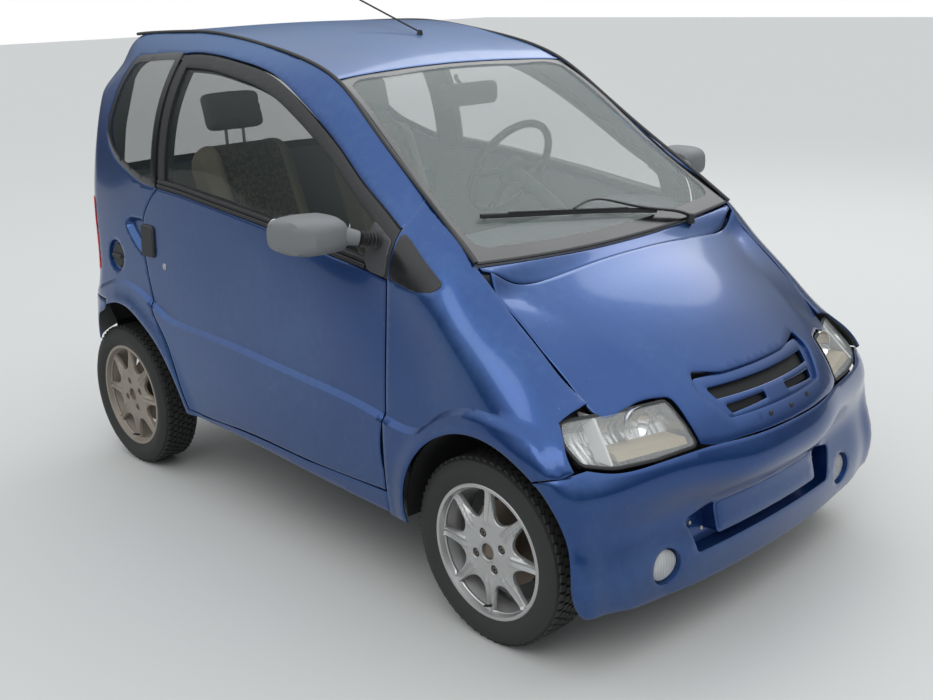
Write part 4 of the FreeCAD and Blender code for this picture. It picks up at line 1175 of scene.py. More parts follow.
both_sides("Rain_gutter", *tube(through_points(GUTTER), 6.5, flat=0.8), [RUBBER], slot="black_plastic")
print("gutter follows", len(through_points(GUTTER)), "points")

# %% [markdown]
# ## Bonnet, nose and grille
# The bonnet runs down between the lamps to the bumper and carries the grille:
# a shallow pressed recess with one long slot over two short ones, and below it
# a plain field with three screws. A cut through the finished mesh would leave
# ragged edges, so the recess is a hole in the bonnet's sheet over a second,
# lower sheet. The badge place is left bare.

# %% Bonnet and scuttle
bonnet_back = [(790, 0), (787, -200), (778, -380), (760, -480), (742, -530)]
bonnet_rim = [(742, -530), (760, -538), (833, -539), (917, -537), (1000, -531), (1056, -523)]
lamp_top = [(1056, -523), (1078, -516), (1115, -424), (1144, -352)]
lamp_inner = [(1144, -352), (1152, -338), (1200, -324), (1239, -316)]
nose_foot = [(1239, -316), (1248, -296), (1276, -200), (1292, -100), (1297, 0)]
bonnet_loop = tidy_loop(whole(bonnet_back, bonnet_rim, lamp_top, lamp_inner, nose_foot))
GRILLE = [(-278, 684), (-206, 592), (206, 592), (278, 684)]
GRILLE_SLOTS = [[(-222, 663), (-208, 637), (208, 637), (222, 663)],
                [(-196, 622), (-186, 602), (-46, 609), (-46, 625)],
                [(46, 625), (46, 609), (186, 602), (196, 622)]]
grille_loop = rounded(GRILLE, [24, 16, 16, 24])
in_plan = lambda loop: from_top.flat(lifted(from_front, loop))
crease_x = np.linspace(790, 1290, 50)
creases = [np.column_stack([crease_x, s * bonnet_crease_y(crease_x)]) for s in (-1, 1)]
panel("Bonnet_skin", from_top, bonnet_loop, holes=[in_plan(grille_loop)], thick=9, grid=16, twin=False, rim=3,
      band=(10,), roll=1.8, creases=creases, bodies=("bonnet_lid", ""), nodes=("bonnet",), shape=bonnet_form)
slots = [rounded(s, 5, step=3) for s in GRILLE_SLOTS]
panel("Grille_field", from_front, offset(grille_loop, -2), holes=slots, thick=10, grid=12, lift=-8, twin=False,
      rim=2, roll=1.5, bodies=("bonnet_lid", ""), shape=bonnet_form)
# A near-black sheet behind the slots: painted shade for the dark inside of the nose.
panel("Grille_backing", from_front, offset(grille_loop, 14), thick=3, grid=40, lift=-24, twin=False,
      bodies=("bonnet_lid", ""), materials=[HOUSING_BLACK_AND_PAINTED_SHADE] * 3, slot="black_plastic")
scuttle_loop = tidy_loop(whole([(746, 0), (744, -150), (736, -300), (724, -450), (716, -541)],
                               [(716, -541), (727, -541)], [(727, -541), (736, -524)],
                               [(736, -524), (756, -478), (774, -382), (783, -200), (786, 0)]))
panel("Scuttle_panel", from_top, scuttle_loop, thick=12, grid=8, band=(7,), lift=-9, twin=False,
      nodes=("scuttle",), shape=top_part)
print("bonnet outline", len(bonnet_loop), "points")

# %% [markdown]
# ## Front fenders and bumpers
# Each fender reaches from the door to the lamp and over the wheel. The bumper
# is one deep moulding with a bulge above a crease, a number-plate field, a
# slot that turns up at both ends, and a round fog lamp in each corner. Seen
# from the front its ends would be squeezed, so it is drawn round an upright
# axis, and the fender from the shoulder.

# %% Fenders


def front_arch(first, last, step):
    """Points of the front wheel arch in the side view, at angles from +X."""
    ax, az, ar = FRONT_ARCH
    return [(ax + ar * math.cos(a), az + ar * math.sin(a)) for a in np.radians(np.arange(first, last, step))]


lamp_side = [(1044, 645), (1075, 618), (1104, 584), (1128, 553)]
on_side = lambda points: flat_points(from_shoulder, lifted(from_side, points, fender_form))
on_top = lambda points: flat_points(from_shoulder, lifted(from_top, points, fender_form))
fender_loop = tidy_loop(outline(
    on_side([(497, 258), (497, 600), (497, 912), (497, 1000), (497, 1106)]),
    on_top([(500, -524), (560, -531), (640, -541), (711, -551)]),
    on_top([(711, -551), (728, -549), (742, -545)]), on_top([(x, y - 5.5) for x, y in bonnet_rim[1:]]),
    on_side(lamp_side), on_side([(1128, 553), (1121, 547), (1078, 534), (1040, 521)]),
    on_side(front_arch(52, 181, 4)), on_side([(570, 296), (577, 262)]), on_side([(577, 262), (497, 260)])))
to_shoulder = lambda loop: from_shoulder.flat(lifted(from_side, loop, fender_form))
panel("Fender", from_shoulder, fender_loop, holes=[to_shoulder(offset(corner_loop, 3))], thick=5,
      grid=13, creases=[to_shoulder(c) for c in ledge_creases(500, 1060)], nodes=("fenders",), shape=fender_form)

# %% Bumpers
bumper_top = lifted(from_front, [(0, 543), (-180, 543), (-300, 543), (-330, 541), (-450, 533), (-560, 532),
                                 (-618, 546)])
bumper_side = lifted(from_side, [(1121, 542), (1078, 529), (1042, 517)])
bumper_arch = lifted(from_side, front_arch(48, -1, -4) + [(1150, 262), (1152, 236)])
bumper_end = lifted(from_side, [(1152, 236), (1157, 210), (1167, 190)])
bumper_low = lifted(from_front, [(-570, 180), (-500, 170), (-400, 165), (-300, 162), (0, 160)])
runs = [flat_points(round_front, r) for r in (bumper_top, bumper_side, bumper_arch, bumper_end, bumper_low)]
bumper_loop = tidy_loop(whole_front(*runs))
BUMPER_SLOT = [(-343, 350), (-236, 372), (-236, 286), (236, 286), (236, 372), (343, 350), (322, 300), (309, 256),
               (-309, 256), (-322, 300)]
slot_loop = rounded(BUMPER_SLOT, [10, 6, 10, 10, 6, 10, 30, 12, 12, 30])
FOG_Y, FOG_Z, FOG_R = 418.0, 252.0, 48.0
wells = [circle(s * FOG_Y, FOG_Z, FOG_R) for s in (-1, 1)]
round_it = lambda loop: round_front.flat(lifted(from_front, loop))
waist = round_it(run([(y, 372 - abs(y) * 0.04) for y in np.arange(-560, 561, 40)], 14))
panel("Front_bumper", round_front, bumper_loop, holes=[round_it(h) for h in [slot_loop] + wells], thick=5, grid=13,
      creases=[waist], twin=False, nodes=("bumper_front",))
bowl("Bumper_slot_tub", from_front, slot_loop, [(0.3, 2), (-2, 12), (-4, 40), (-3, 48)], [PAINT], twin=False)
for s, word in ((-1, "right"), (1, "left")):
    bowl("Fog_well_" + word, from_front, wells[(s + 1) // 2], [(0.3, 1.5), (1.5, 14), (3, 30), (8, 34)],
         [PAINT], twin=False)
REAR_MIDDLE = 1800
rear_side = lifted(from_side, [(-1002, 610), (-1060, 610), (-1130, 610), (-1180, 610)])
rear_arch = lifted(from_side, [(-1108, 447), (-1106, 464), (-1054, 560), (-1004, 592), (-1002, 610)])
rear_mid_top = lifted(from_rear, [(-600, 610), (-500, 610), (-250, 610), (0, 610)])
rear_low = lifted(from_rear, [(0, 447), (-300, 447), (-500, 447), (-640, 447)])
runs = [round_rear.flat(r) for r in (rear_mid_top[::-1], rear_side[::-1], rear_arch[::-1], rear_low[::-1])]
half = [[(-abs(REAR_MIDDLE - a), z) for a, z in r] for r in runs]
rear_loop = tidy_loop(whole_front(*half))
rear_loop[:, 0] = REAR_MIDDLE + rear_loop[:, 0]
panel("Rear_bumper", round_rear, rear_loop, thick=5, grid=15, twin=False, nodes=("bumper_rear",))

# %% [markdown]
# ## Tailgate
# The tail is one lifting door with a bonded window, hinged at the roof. The
# photograph hides it, so it keeps to the plain form of such cars. It leans, so
# it is drawn from behind and above.

# %% Tailgate and its window
hatch_head = lifted(from_top, [(-1047, 0), (-1047, -200), (-1047, -360), (-1049, -428)])
hatch_side = lifted(from_rear, HATCH_SIDE[::-1])
hatch_low = lifted(from_rear, [(-552, 616), (-300, 616), (0, 616)])
WINDOW = [(-384, 1418), (384, 1418), (456, 1182), (478, 1010), (-478, 1010), (-456, 1182)]
tilt = lambda points: flat_points(from_behind_above, points)
hatch_loop = tidy_loop(whole_front(tilt(hatch_head), tilt(hatch_side), tilt(hatch_low)))
window_loop = np.array(tilt(lifted(from_rear, rounded(WINDOW, [44, 44, 300, 40, 40, 300]))))
panel("Tailgate_skin", from_behind_above, hatch_loop, holes=[window_loop], thick=24, grid=16, twin=False,
      bodies=("tailgate", ""), materials=[PAINT, TRIM_GREY, PAINT], nodes=("hatch",))
glass_loop = offset(window_loop, -14)
clear_rear = offset(window_loop, 22)
panel("Tailgate_window", from_behind_above, glass_loop, thick=4, grid=26, lift=3, twin=False,
      creases=[ring_of(clear_rear)], zones=[(clear_rear, 1, 1)], bodies=("tailgate", ""),
      materials=[FRIT, GLASS, FRIT], slot="clear_glass", nodes=("hatch_window",))

# %% [markdown]
# ## Lamps
# Each headlamp is one clear cover over two rooms: a turn lamp at the corner
# and a deep main room, with a pale wall between. A black seal runs round the
# cover. The main room has a ribbed reflector, a bright bowl for the bulb and
# a flat floor that has yellowed. Real rooms behind a thin cover give the depth
# and the glints that a painted lens lacks.

# %% Lamp finishes


def ribbed(name, colour, roughness, metallic, pitch, depth, **more):
    f = Finish(name, Base_Color=colour, Roughness=roughness, Metallic=metallic, **more)
    wave = f.node("TexWave", {"wave_type": "BANDS", "bands_direction": "Y"}, Vector=f.place(), Scale=1.0 / pitch)
    f.bump(f.value(wave.outputs["Fac"]), depth)
    return f.material


REFLECTOR = ribbed("Ribbed reflector", (0.5, 0.5, 0.49), 0.22, 0.85, 0.045, 0.0012)
BOWL_CHROME = plain("Bright bowl", (0.78, 0.78, 0.76), 0.08, metallic=1.0)
YELLOWED = plain("Yellowed housing", (0.33, 0.27, 0.17), 0.55)
PALE_WALL = plain("Pale lamp wall", (0.55, 0.55, 0.53), 0.5)
LENS_CLEAR = clear_glass("Lamp cover", (0.82, 0.84, 0.84), 0.14)
TURN_LENS = ribbed("Ribbed turn lens", (0.75, 0.76, 0.75), 0.15, 0.0, 0.03, 0.0012, Alpha=0.45)
RED_LENS = ribbed("Red tail lens", (0.42, 0.008, 0.01), 0.16, 0.0, 0.05, 0.0008, Coat_Weight=0.6)
print("materials so far:", len(bpy.data.materials))

# %% Headlamp covers and housings
LAMP = [(-347, 655), (-524, 644), (-606, 641), (-628, 600), (-622, 557), (-556, 541), (-450, 541), (-325, 551)]
lamp_loop = rounded(LAMP, [10, 120, 14, 40, 12, 120, 120, 12])
panel("Headlamp_cover", from_front, offset(lamp_loop, 3), thick=3, grid=22, lift=0.5, rim=3, roll=2.5,
      materials=[LENS_CLEAR] * 3, slot="clear_glass", nodes=("headlamps",))
panel("Headlamp_seal", from_front, offset(lamp_loop, -2.5), holes=[offset(lamp_loop, 4.5)], thick=10, grid=40,
      rim=1.5, lift=-1, roll=0.8, materials=[RUBBER] * 3, slot="black_plastic")
bowl("Headlamp_housing", from_front, offset(lamp_loop, 4), [(0, 4), (2, 26), (7, 52), (22, 62)],
     [REFLECTOR], slot="lamp_silver", nodes=("headlamp_bowls",), sharp=50.0)

# %% Inside the headlamps


def facing_out(points, faces):
    """Reverses the faces of a closed form whose volume comes out negative."""
    points = np.asarray(points, float)
    volume = sum(float(points[f[0]] @ np.cross(points[f[i]], points[f[i + 1]]))
                 for f in faces for i in range(1, len(f) - 1))
    return points, faces if volume > 0 else [tuple(reversed(f)) for f in faces]


def turned(profile, centre, axis="x", count=40, closed=False, turn=None):
    """A piece turned about an axis through centre, from (along, radius) points."""
    angles = np.linspace(0, 2 * math.pi, count, endpoint=False)
    rows = []
    for along, r in profile:
        c, s = r * np.cos(angles), r * np.sin(angles)
        flat = np.full(count, float(along))
        rows.append(np.column_stack({"x": (flat, c, s), "y": (s, flat, c), "z": (c, s, flat)}[axis]))
    points = np.vstack(rows)
    faces = []
    n = len(profile)
    for i in range(n if closed else n - 1):
        a, b = i * count, (i + 1) % n * count
        faces += [(a + k, a + (k + 1) % count, b + (k + 1) % count, b + k) for k in range(count)]
    if not closed:
        faces += [tuple(reversed(range(count))), tuple(range((n - 1) * count, n * count))]
    if turn is not None:
        points = points @ np.array(turn).T
    return facing_out(points + np.array(centre, float), faces)


dish = [(-46, 6), (-40, 20), (-26, 34), (-6, 44), (0, 46), (0, 48), (-8, 47), (-30, 37), (-46, 22), (-52, 6)]
DISH_AT = (1128, -428, 604)
both_sides("Headlamp_dish", *turned(dish, DISH_AT), [BOWL_CHROME], slot="lamp_silver")
both_sides("Headlamp_bulb", *turned([(-40, 7), (-10, 8), (-2, 5), (0, 1)], DISH_AT, count=20), [PALE_WALL],
           slot="lamp_silver")
wall_top, wall_foot = lifted(from_front, [(-524, 640)])[0], lifted(from_front, [(-554, 546)])[0]
wall = [wall_top + (-5, -4, 0), wall_top + (-5, 4, 0), wall_foot + (-5, 4, 0), wall_foot + (-5, -4, 0)]
wall = np.array(wall + [w + (-48, 0, 0) for w in wall])
BOX_FACES = [(0, 3, 2, 1), (4, 5, 6, 7), (0, 1, 5, 4), (1, 2, 6, 5), (2, 3, 7, 6), (3, 0, 4, 7)]
both_sides("Headlamp_divider", *facing_out(wall, BOX_FACES), [PALE_WALL], slot="lamp_silver")
shelf = [(-534, 549), (-345, 557), (-345, 572), (-534, 566)]
front_line = lifted(from_front, shelf) - (9, 0, 0)
shelf_points = np.vstack([front_line, front_line - (58, 0, 0)])
both_sides("Headlamp_shelf", *facing_out(shelf_points, BOX_FACES), [YELLOWED], slot="lamp_silver")
print("divider stands between", np.round(wall_top), "and", np.round(wall_foot), "mm")

# %% Fog lamps and tail lamps
panel("Fog_lens", from_front, circle(-FOG_Y, FOG_Z, 43), thick=4, grid=14, lift=-12, roll=2, rim=4,
      materials=[TURN_LENS] * 3, slot="clear_glass", nodes=("fog_lamps",))
panel("Fog_reflector", from_front, circle(-FOG_Y, FOG_Z, 40), thick=3, grid=20, lift=-27,
      materials=[BOWL_CHROME] * 3, slot="lamp_silver")
panel("Tail_lamp", from_side, offset(tail_lamp_loop, 1.5), thick=8, grid=13, lift=3, rim=4, roll=3,
      materials=[RED_LENS] * 3, slot="red_lens", nodes=("tail_lamps",))
bowl("Tail_lamp_room", from_side, tail_lamp_loop, [(0, 1.5), (1, 12), (3, 16)], [HOUSING_BLACK_AND_PAINTED_SHADE], slot="black_plastic")

# %% [markdown]
# ## Small outside parts
# Bevelled door pulls, locks, the filler cap, the plate field, screws, the
# wiper, and the door mirrors on their rubber bellows. They are turned about an
# axis, lofted through sections or swept along a line, whichever is how the
# real piece is formed.

# %% Handles, locks, filler cap, plate field
handle_loop = rounded([(-741, 806), (-668, 806), (-661, 814), (-663, 900), (-673, 911), (-741, 911)], 6, step=4)
panel("Door_pull", from_side, handle_loop, thick=20, lift=9, grid=11, rim=5, roll=5, bodies=DOOR_BODIES,
      materials=[BLACK_PLASTIC] * 3, slot="black_plastic", nodes=("door_handle_SIDE",))
METAL = plain("Dull bright metal", (0.42, 0.42, 0.41), 0.35, metallic=0.9)
panel("Door_lock", from_side, circle(-607, 786, 11, 24), thick=6, lift=2.5, grid=8, rim=2, roll=1.5,
      bodies=DOOR_BODIES, materials=[METAL] * 3, slot="black_plastic")
panel("Filler_cap", from_side, circle(-932, 776, 41, 36), thick=14, lift=-4, grid=12, rim=5, roll=4, only="right",
      materials=[BLACK_PLASTIC] * 3, slot="black_plastic", nodes=("fuel_cap",))
panel("Filler_grip", from_side, rounded([(-966, 770), (-898, 770), (-898, 783), (-966, 783)], 5), thick=8, lift=4,
      grid=10, rim=3, roll=3, only="right", materials=[BLACK_PLASTIC] * 3, slot="black_plastic")
panel("Plate_field", from_front, rounded([(-228, 366), (228, 366), (228, 292), (-228, 292)], 8), thick=6, lift=2.5,
      grid=22, rim=3, roll=1.5, twin=False)

# %% Screws


def screw(name, point, normal, radius=7.0, body="body", metal=None):
    """A domed screw head with a slot-sized dimple, seated on the skin."""
    normal = np.array(normal, float) / np.linalg.norm(normal)
    side = np.cross(normal, (0, 0, 1.0) if abs(normal[2]) < 0.9 else (1.0, 0, 0))
    side /= np.linalg.norm(side)
    turn = np.column_stack([normal, side, np.cross(normal, side)])
    profile = [(-3, radius), (1.2, radius), (2.6, radius * 0.8), (3.0, radius * 0.45), (1.6, radius * 0.36)]
    return make_piece(name, *turned(profile, point, "x", 20, turn=turn), [metal or METAL], body=body, slot="iron")


for k, (y, z) in enumerate([(-72, 575), (19, 573), (107, 579)]):
    at = lifted(from_front, [(y, z)], bonnet_form)
    screw("Nose_screw_%d" % k, at[0], normals(at, bonnet_form)[0], body="bonnet_lid", metal=RUBBER)
for side in (-1, 1):
    for k, (y, z) in enumerate([(290, 318), (262, 300)]):
        at = lifted(from_front, [(side * y, z)])
        screw("Slot_screw_%d_%s" % (k, "right" if side < 0 else "left"), at[0] - (34 - 8 * k, 0, 0), (1, 0, 0), 6)
print("screws seated on the nose and in the bumper's slot")

# %% Wiper
WIPER_BLADE = [(592, -420), (626, -210), (658, 0), (694, 200)]
on_glass = lambda points, lift: lifted(from_top, points, top_part) + (0.5 * lift, 0, 0.86 * lift)
blade = through_points(on_glass(WIPER_BLADE, 9), 20)
make_piece("Wiper_blade", *tube(blade, 5.0, sides=8, flat=1.4), [RUBBER], slot="black_plastic", nodes=("wiper",))
frame_bar = through_points(on_glass([(606, -330), (640, -120), (672, 90)], 17), 20)
make_piece("Wiper_bar", *tube(frame_bar, 4.0, sides=8, flat=0.7), [BLACK_PLASTIC], slot="black_plastic")
pivot = on_glass([(742, 310)], 0)[0]
arm = through_points([pivot + (0, 0, 14), pivot + (-8, -20, 24),
                      *on_glass([(700, 200), (660, 90), (628, 10), (640, -110)], 20)], 14)
make_piece("Wiper_arm", *tube(arm, np.linspace(9, 4.5, len(arm)), sides=10, flat=0.6), [BLACK_PLASTIC],
           slot="black_plastic")
make_piece("Wiper_pivot", *turned([(-8, 13), (14, 12), (20, 9), (22, 3)], pivot, "z", 24), [BLACK_PLASTIC],
           slot="black_plastic")
print("wiper turns about", np.round(pivot), "mm")

# %% Forms lofted through sections


def loft(sections):
    """A closed form through sections with equal numbers of points."""
    count = len(sections[0])
    points = np.vstack(sections)
    faces = []
    for i in range(len(sections) - 1):
        a, b = i * count, (i + 1) * count
        faces += [(a + k, a + (k + 1) % count, b + (k + 1) % count, b + k) for k in range(count)]
    faces += [tuple(reversed(range(count))), tuple(range(len(points) - count, len(points)))]
    return facing_out(points, faces)


def egg(cx, cz, rx, rz, power=3.2, count=40):
    """A rounded box outline, from a power curve."""
    a = np.linspace(0, 2 * math.pi, count, endpoint=False)
    return (cx + rx * np.sign(np.cos(a)) * np.abs(np.cos(a)) ** (2 / power),
            cz + rz * np.sign(np.sin(a)) * np.abs(np.sin(a)) ** (2 / power))


def slab(section, places):
    """A closed form that carries one (y, z) section through places along X."""
    return loft([np.column_stack([np.full(len(section[0]), x), *section]) for x in places])


print("an egg outline has", len(egg(0, 0, 1, 1)[0]), "points")

# %% Mirror housings, glass, bellows and plates
rows = []
for y, x0, x1, z0, z1 in [(-721, 300, 404, 1006, 1056), (-726, 278, 424, 990, 1070), (-740, 262, 433, 984, 1079),
                          (-785, 255, 434, 983, 1082), (-830, 252, 426, 984, 1081), (-856, 254, 398, 988, 1076),
                          (-866, 262, 356, 996, 1066), (-869, 276, 320, 1010, 1050)]:
    xs, zs = egg((x0 + x1) / 2, (z0 + z1) / 2, (x1 - x0) / 2, (z1 - z0) / 2)
    rows.append(np.column_stack([xs, np.full(len(xs), float(y)), zs]))
both_sides("Door_mirror_shell", *loft(rows), [MIRROR_GREY], bodies=DOOR_BODIES, slot="grey_plastic",
           nodes=("door_mirror_SIDE",))
ys, zs = egg(-795, 1033, 62, 40)
MIRROR_GLASS = plain("Mirror glass", (0.62, 0.64, 0.66), 0.03, metallic=1.0)
glass = [np.column_stack([np.full(len(ys), x), -795 + (ys + 795) * k, 1033 + (zs - 1033) * k])
         for x, k in ((262, 1.0), (252.5, 1.0), (250.5, 0.96))]
both_sides("Door_mirror_glass", *loft(glass), [MIRROR_GLASS], bodies=DOOR_BODIES, slot="grey_plastic")
neck = through_points([(404, -738, 1030), (420, -716, 1024), (431, -698, 1019)], 4)
both_sides("Door_mirror_neck", *facing_out(*tube(neck, np.linspace(26, 19, len(neck)), sides=24)), [MIRROR_GREY],
           bodies=DOOR_BODIES, slot="grey_plastic")
folds = through_points([(431, -699, 1019), (438, -676, 1014), (441, -652, 1010)], 1.6)
wave = 19.5 + 3.5 * np.cos(np.linspace(0, 10 * math.pi, len(folds)))
both_sides("Door_mirror_bellows", *facing_out(*tube(folds, wave, sides=24)), [RUBBER], bodies=DOOR_BODIES,
           slot="black_plastic")
plate_loop = rounded([(398, 948), (398, 1052), (486, 1008), (488, 916), (420, 924)], [34, 8, 8, 10, 30])
panel("Mirror_plate", from_side, plate_loop, thick=16, lift=3, grid=12, rim=4, roll=3, bodies=DOOR_BODIES,
      materials=[DARK_PLASTIC] * 3, slot="grey_plastic")

# %% [markdown]
# ## Wheels
# Cast wheels with eight ribbed spokes stand outboard of an open barrel. Each
# wheel is held by four bolts round an open hub nut. The tyre is turned from
# its section, and its winter tread is rows of sipe-cut blocks, which repeat
# round the tyre and so are built by Geometry Nodes.

# %% Wheel finishes
ALLOY = plain("Silver wheel lacquer", (0.46, 0.46, 0.455), 0.36, metallic=0.75)
DUSTY_ALLOY = plain("Wheel lacquer with brake dust", (0.3, 0.265, 0.225), 0.55, metallic=0.5)
TYRE = plain("Tyre rubber", (0.021, 0.021, 0.02), 0.72, grain=0.0002)
IRON = plain("Bare iron", (0.14, 0.125, 0.11), 0.5, metallic=0.8)
SPOKES, BOLT_CIRCLE = 8, 50
BOLT_ANGLES = np.radians([22.5, 112.5, 202.5, 292.5])
print("bolts at", np.degrees(BOLT_ANGLES), "degrees")

# %% The wheel's face


def spoke_face():
    """The wheel's outer face in its own plane, with eight windows and four bolt holes."""
    rim_circle = circle(0, 0, 173, 96)
    windows = []
    for k in range(SPOKES):
        a = 2 * math.pi * (k + 0.5) / SPOKES
        arch = [(158, -53), (144, -47), (125, -37), (109, -26), (97, -13), (93, 0), (97, 13), (109, 26), (125, 37),
                (144, 47), (158, 53)]
        outer = [(158, 53), (165, 27), (167, 0), (165, -27), (158, -53)]
        shape = outline(arch, outer, step=6.0)
        windows.append(shape @ np.array([[math.cos(a), math.sin(a)], [-math.sin(a), math.cos(a)]]))
    centre = circle(0, 0, 22, 32)
    bolts = [circle(BOLT_CIRCLE * math.cos(a), BOLT_CIRCLE * math.sin(a), 12, 20) for a in BOLT_ANGLES]
    flat, faces = triangulate(rim_circle, windows + [centre] + bolts, grid=5, rim=2.5)
    r = np.hypot(*flat.T)
    angle = np.arctan2(flat[:, 1], flat[:, 0]) * SPOKES / (2 * math.pi)
    across = np.abs((angle + 0.5) % 1.0 - 0.5) * 2 * math.pi / SPOKES * r
    dome = 51 - 8 * ease((r - 85) / 75) + 4 * (1 - ease((r - 24) / 9))
    rib = 6.0 * ease(1 - np.abs(across - 8.5) / 7) * ease((r - 68) / 18)
    y = dome + rib + 3.0 * ease((r - 163) / 6)
    points = np.column_stack([flat[:, 0], y, flat[:, 1]])
    facing = np.cross(points[faces[:, 1]] - points[faces[:, 0]], points[faces[:, 2]] - points[faces[:, 0]])
    if facing[:, 1].sum() < 0:
        faces = faces[:, ::-1]
    return wall_mesh(points, np.tile([0.0, 1.0, 0.0], (len(points), 1)), faces, 12.0, 2.0)[:2]


face_form = spoke_face()
print("wheel face", len(face_form[0]), "points")

# %% Barrel, tyre, bolts, nut and valve


def join(*forms):
    """One set of points and faces from several."""
    points, faces = [], []
    for p, f in forms:
        base = sum(len(q) for q in points)
        points.append(np.asarray(p, float))
        faces += [tuple(base + i for i in face) for face in f]
    return np.vstack(points), faces


barrel_profile = [(-61, 182), (-59, 184.5), (-56, 184), (-54, 178), (-40, 174), (-25, 160), (0, 158),
                  (22, 166), (40, 174), (54, 177), (56, 184), (60, 184.5), (62, 182), (61, 174), (52, 171),
                  (40, 168), (20, 160), (0, 152), (-25, 154), (-42, 168), (-60, 174)]
tyre_profile = [(-59.7, 182.6), (-64, 190), (-70.5, 205), (-72, 218), (-69, 232), (-62, 244),
                (-54, 247.5), (-25, 248.3), (25, 248.3), (54, 247.5), (62, 244), (69, 232), (72, 218),
                (70.5, 205), (64, 190), (59.7, 182.6), (40, 184), (-40, 184)]
barrel_form = turned(barrel_profile, (0, 0, 0), "y", 96, closed=True)
tyre_form = turned(tyre_profile, (0, 0, 0), "y", 120, closed=True)
bolt_profile = [(36, 9.5), (47, 9.5), (49, 8), (49, 4), (44, 3.5)]
bolt_forms = [turned(bolt_profile, (BOLT_CIRCLE * math.cos(a), 0, BOLT_CIRCLE * math.sin(a)), "y", 12)
              for a in BOLT_ANGLES]
nut_form = turned([(20, 15), (33, 15), (36, 12), (36, 6), (31, 5)], (0, 0, 0), "y", 6)
valve_form = facing_out(*tube([(0, 44, -158), (0, 56, -154), (0, 70, -148)], [3.6, 3.4, 2.6], sides=10))
print("barrel", len(barrel_form[0]), "points, tyre", len(tyre_form[0]))

# %% Tread by Geometry Nodes
TREAD = {"Pitches": 62, "Radius": 0.2475, "Block length": 0.0185, "Block height": 0.0066}
TREAD_ROWS = [(-47, 15, 0.0), (-28, 17, 0.5), (-9.5, 15, 0.0), (9.5, 15, 0.5), (28, 17, 0.0), (47, 15, 0.5)]
BLOCK_LEAN, BLOCK_SINK = 14, 0.42


def node_input(tree, name, kind, value):
    item = tree.interface.new_socket(name=name, in_out="INPUT", socket_type="NodeSocket" + kind)
    item.default_value = value
    return item


def tread_tree():
    """Rows of blocks round the Y axis. Inputs: pitches, radius, block length and block height."""
    tree = bpy.data.node_groups.new("Tyre tread", "GeometryNodeTree")
    names = {name: node_input(tree, name, "Int" if name == "Pitches" else "Float", value).identifier
             for name, value in TREAD.items()}
    tree.interface.new_socket(name="Geometry", in_out="OUTPUT", socket_type="NodeSocketGeometry")
    make = lambda kind, **settings: set_node(tree, kind, settings)
    group = make("NodeGroupInput")
    joined = make("GeometryNodeJoinGeometry")
    for y, width, shift in TREAD_ROWS:
        ring = make("GeometryNodeMeshCircle")
        tree.links.new(group.outputs["Pitches"], ring.inputs["Vertices"])
        tree.links.new(group.outputs["Radius"], ring.inputs["Radius"])
        block = make("GeometryNodeMeshCube")
        size = make("ShaderNodeCombineXYZ")
        tree.links.new(group.outputs["Block length"], size.inputs["X"])
        tree.links.new(group.outputs["Block height"], size.inputs["Z"])
        size.inputs["Y"].default_value = width * MM
        tree.links.new(size.outputs[0], block.inputs["Size"])
        raised = make("GeometryNodeTransform")
        tree.links.new(block.outputs[0], raised.inputs["Geometry"])
        lift = make("ShaderNodeCombineXYZ")
        half = make("ShaderNodeMath", operation="MULTIPLY")
        half.inputs[1].default_value = BLOCK_SINK
        tree.links.new(group.outputs["Block height"], half.inputs[0])
        tree.links.new(half.outputs[0], lift.inputs["Z"])
        tree.links.new(lift.outputs[0], raised.inputs["Translation"])
        raised.inputs["Rotation"].default_value = (0, 0, math.radians(BLOCK_LEAN if y > 0 else -BLOCK_LEAN))
        index = make("GeometryNodeInputIndex")
        turn = make("ShaderNodeMath", operation="MULTIPLY_ADD")
        step = make("ShaderNodeMath", operation="DIVIDE")
        step.inputs[0].default_value = -2 * math.pi
        tree.links.new(group.outputs["Pitches"], step.inputs[1])
        tree.links.new(index.outputs[0], turn.inputs[0])
        tree.links.new(step.outputs[0], turn.inputs[1])
        turn.inputs[2].default_value = math.pi / 2
        angle = make("ShaderNodeCombineXYZ")
        tree.links.new(turn.outputs[0], angle.inputs["Y"])
        place = make("GeometryNodeInstanceOnPoints")
        stand = make("GeometryNodeTransform")
        stand.inputs["Translation"].default_value = (0, y * MM, 0)
        upright = make("GeometryNodeTransform")
        upright.inputs["Rotation"].default_value = (math.pi / 2, 0, 0)
        tree.links.new(ring.outputs[0], upright.inputs["Geometry"])
        tree.links.new(upright.outputs[0], place.inputs["Points"])
        tree.links.new(raised.outputs[0], place.inputs["Instance"])
        tree.links.new(angle.outputs[0], place.inputs["Rotation"])
        stand.inputs["Rotation"].default_value = (0, math.radians(shift * 360.0 / TREAD["Pitches"]), 0)
        tree.links.new(place.outputs[0], stand.inputs["Geometry"])
        tree.links.new(stand.outputs[0], joined.inputs[0])
    real = make("GeometryNodeRealizeInstances")
    paint = make("GeometryNodeSetMaterial")
    paint.inputs["Material"].default_value = TYRE
    out = make("NodeGroupOutput")
    tree.links.new(joined.outputs[0], real.inputs[0])
    tree.links.new(real.outputs[0], paint.inputs["Geometry"])
    tree.links.new(paint.outputs[0], out.inputs[0])
    return tree, names


def set_node(tree, kind, settings):
    node = tree.nodes.new(kind)
    for key, value in settings.items():
        setattr(node, key, value)
    return node


tread, tread_inputs = tread_tree()
print("the node tree has", len(tread.nodes), "nodes")

# %% The tread made


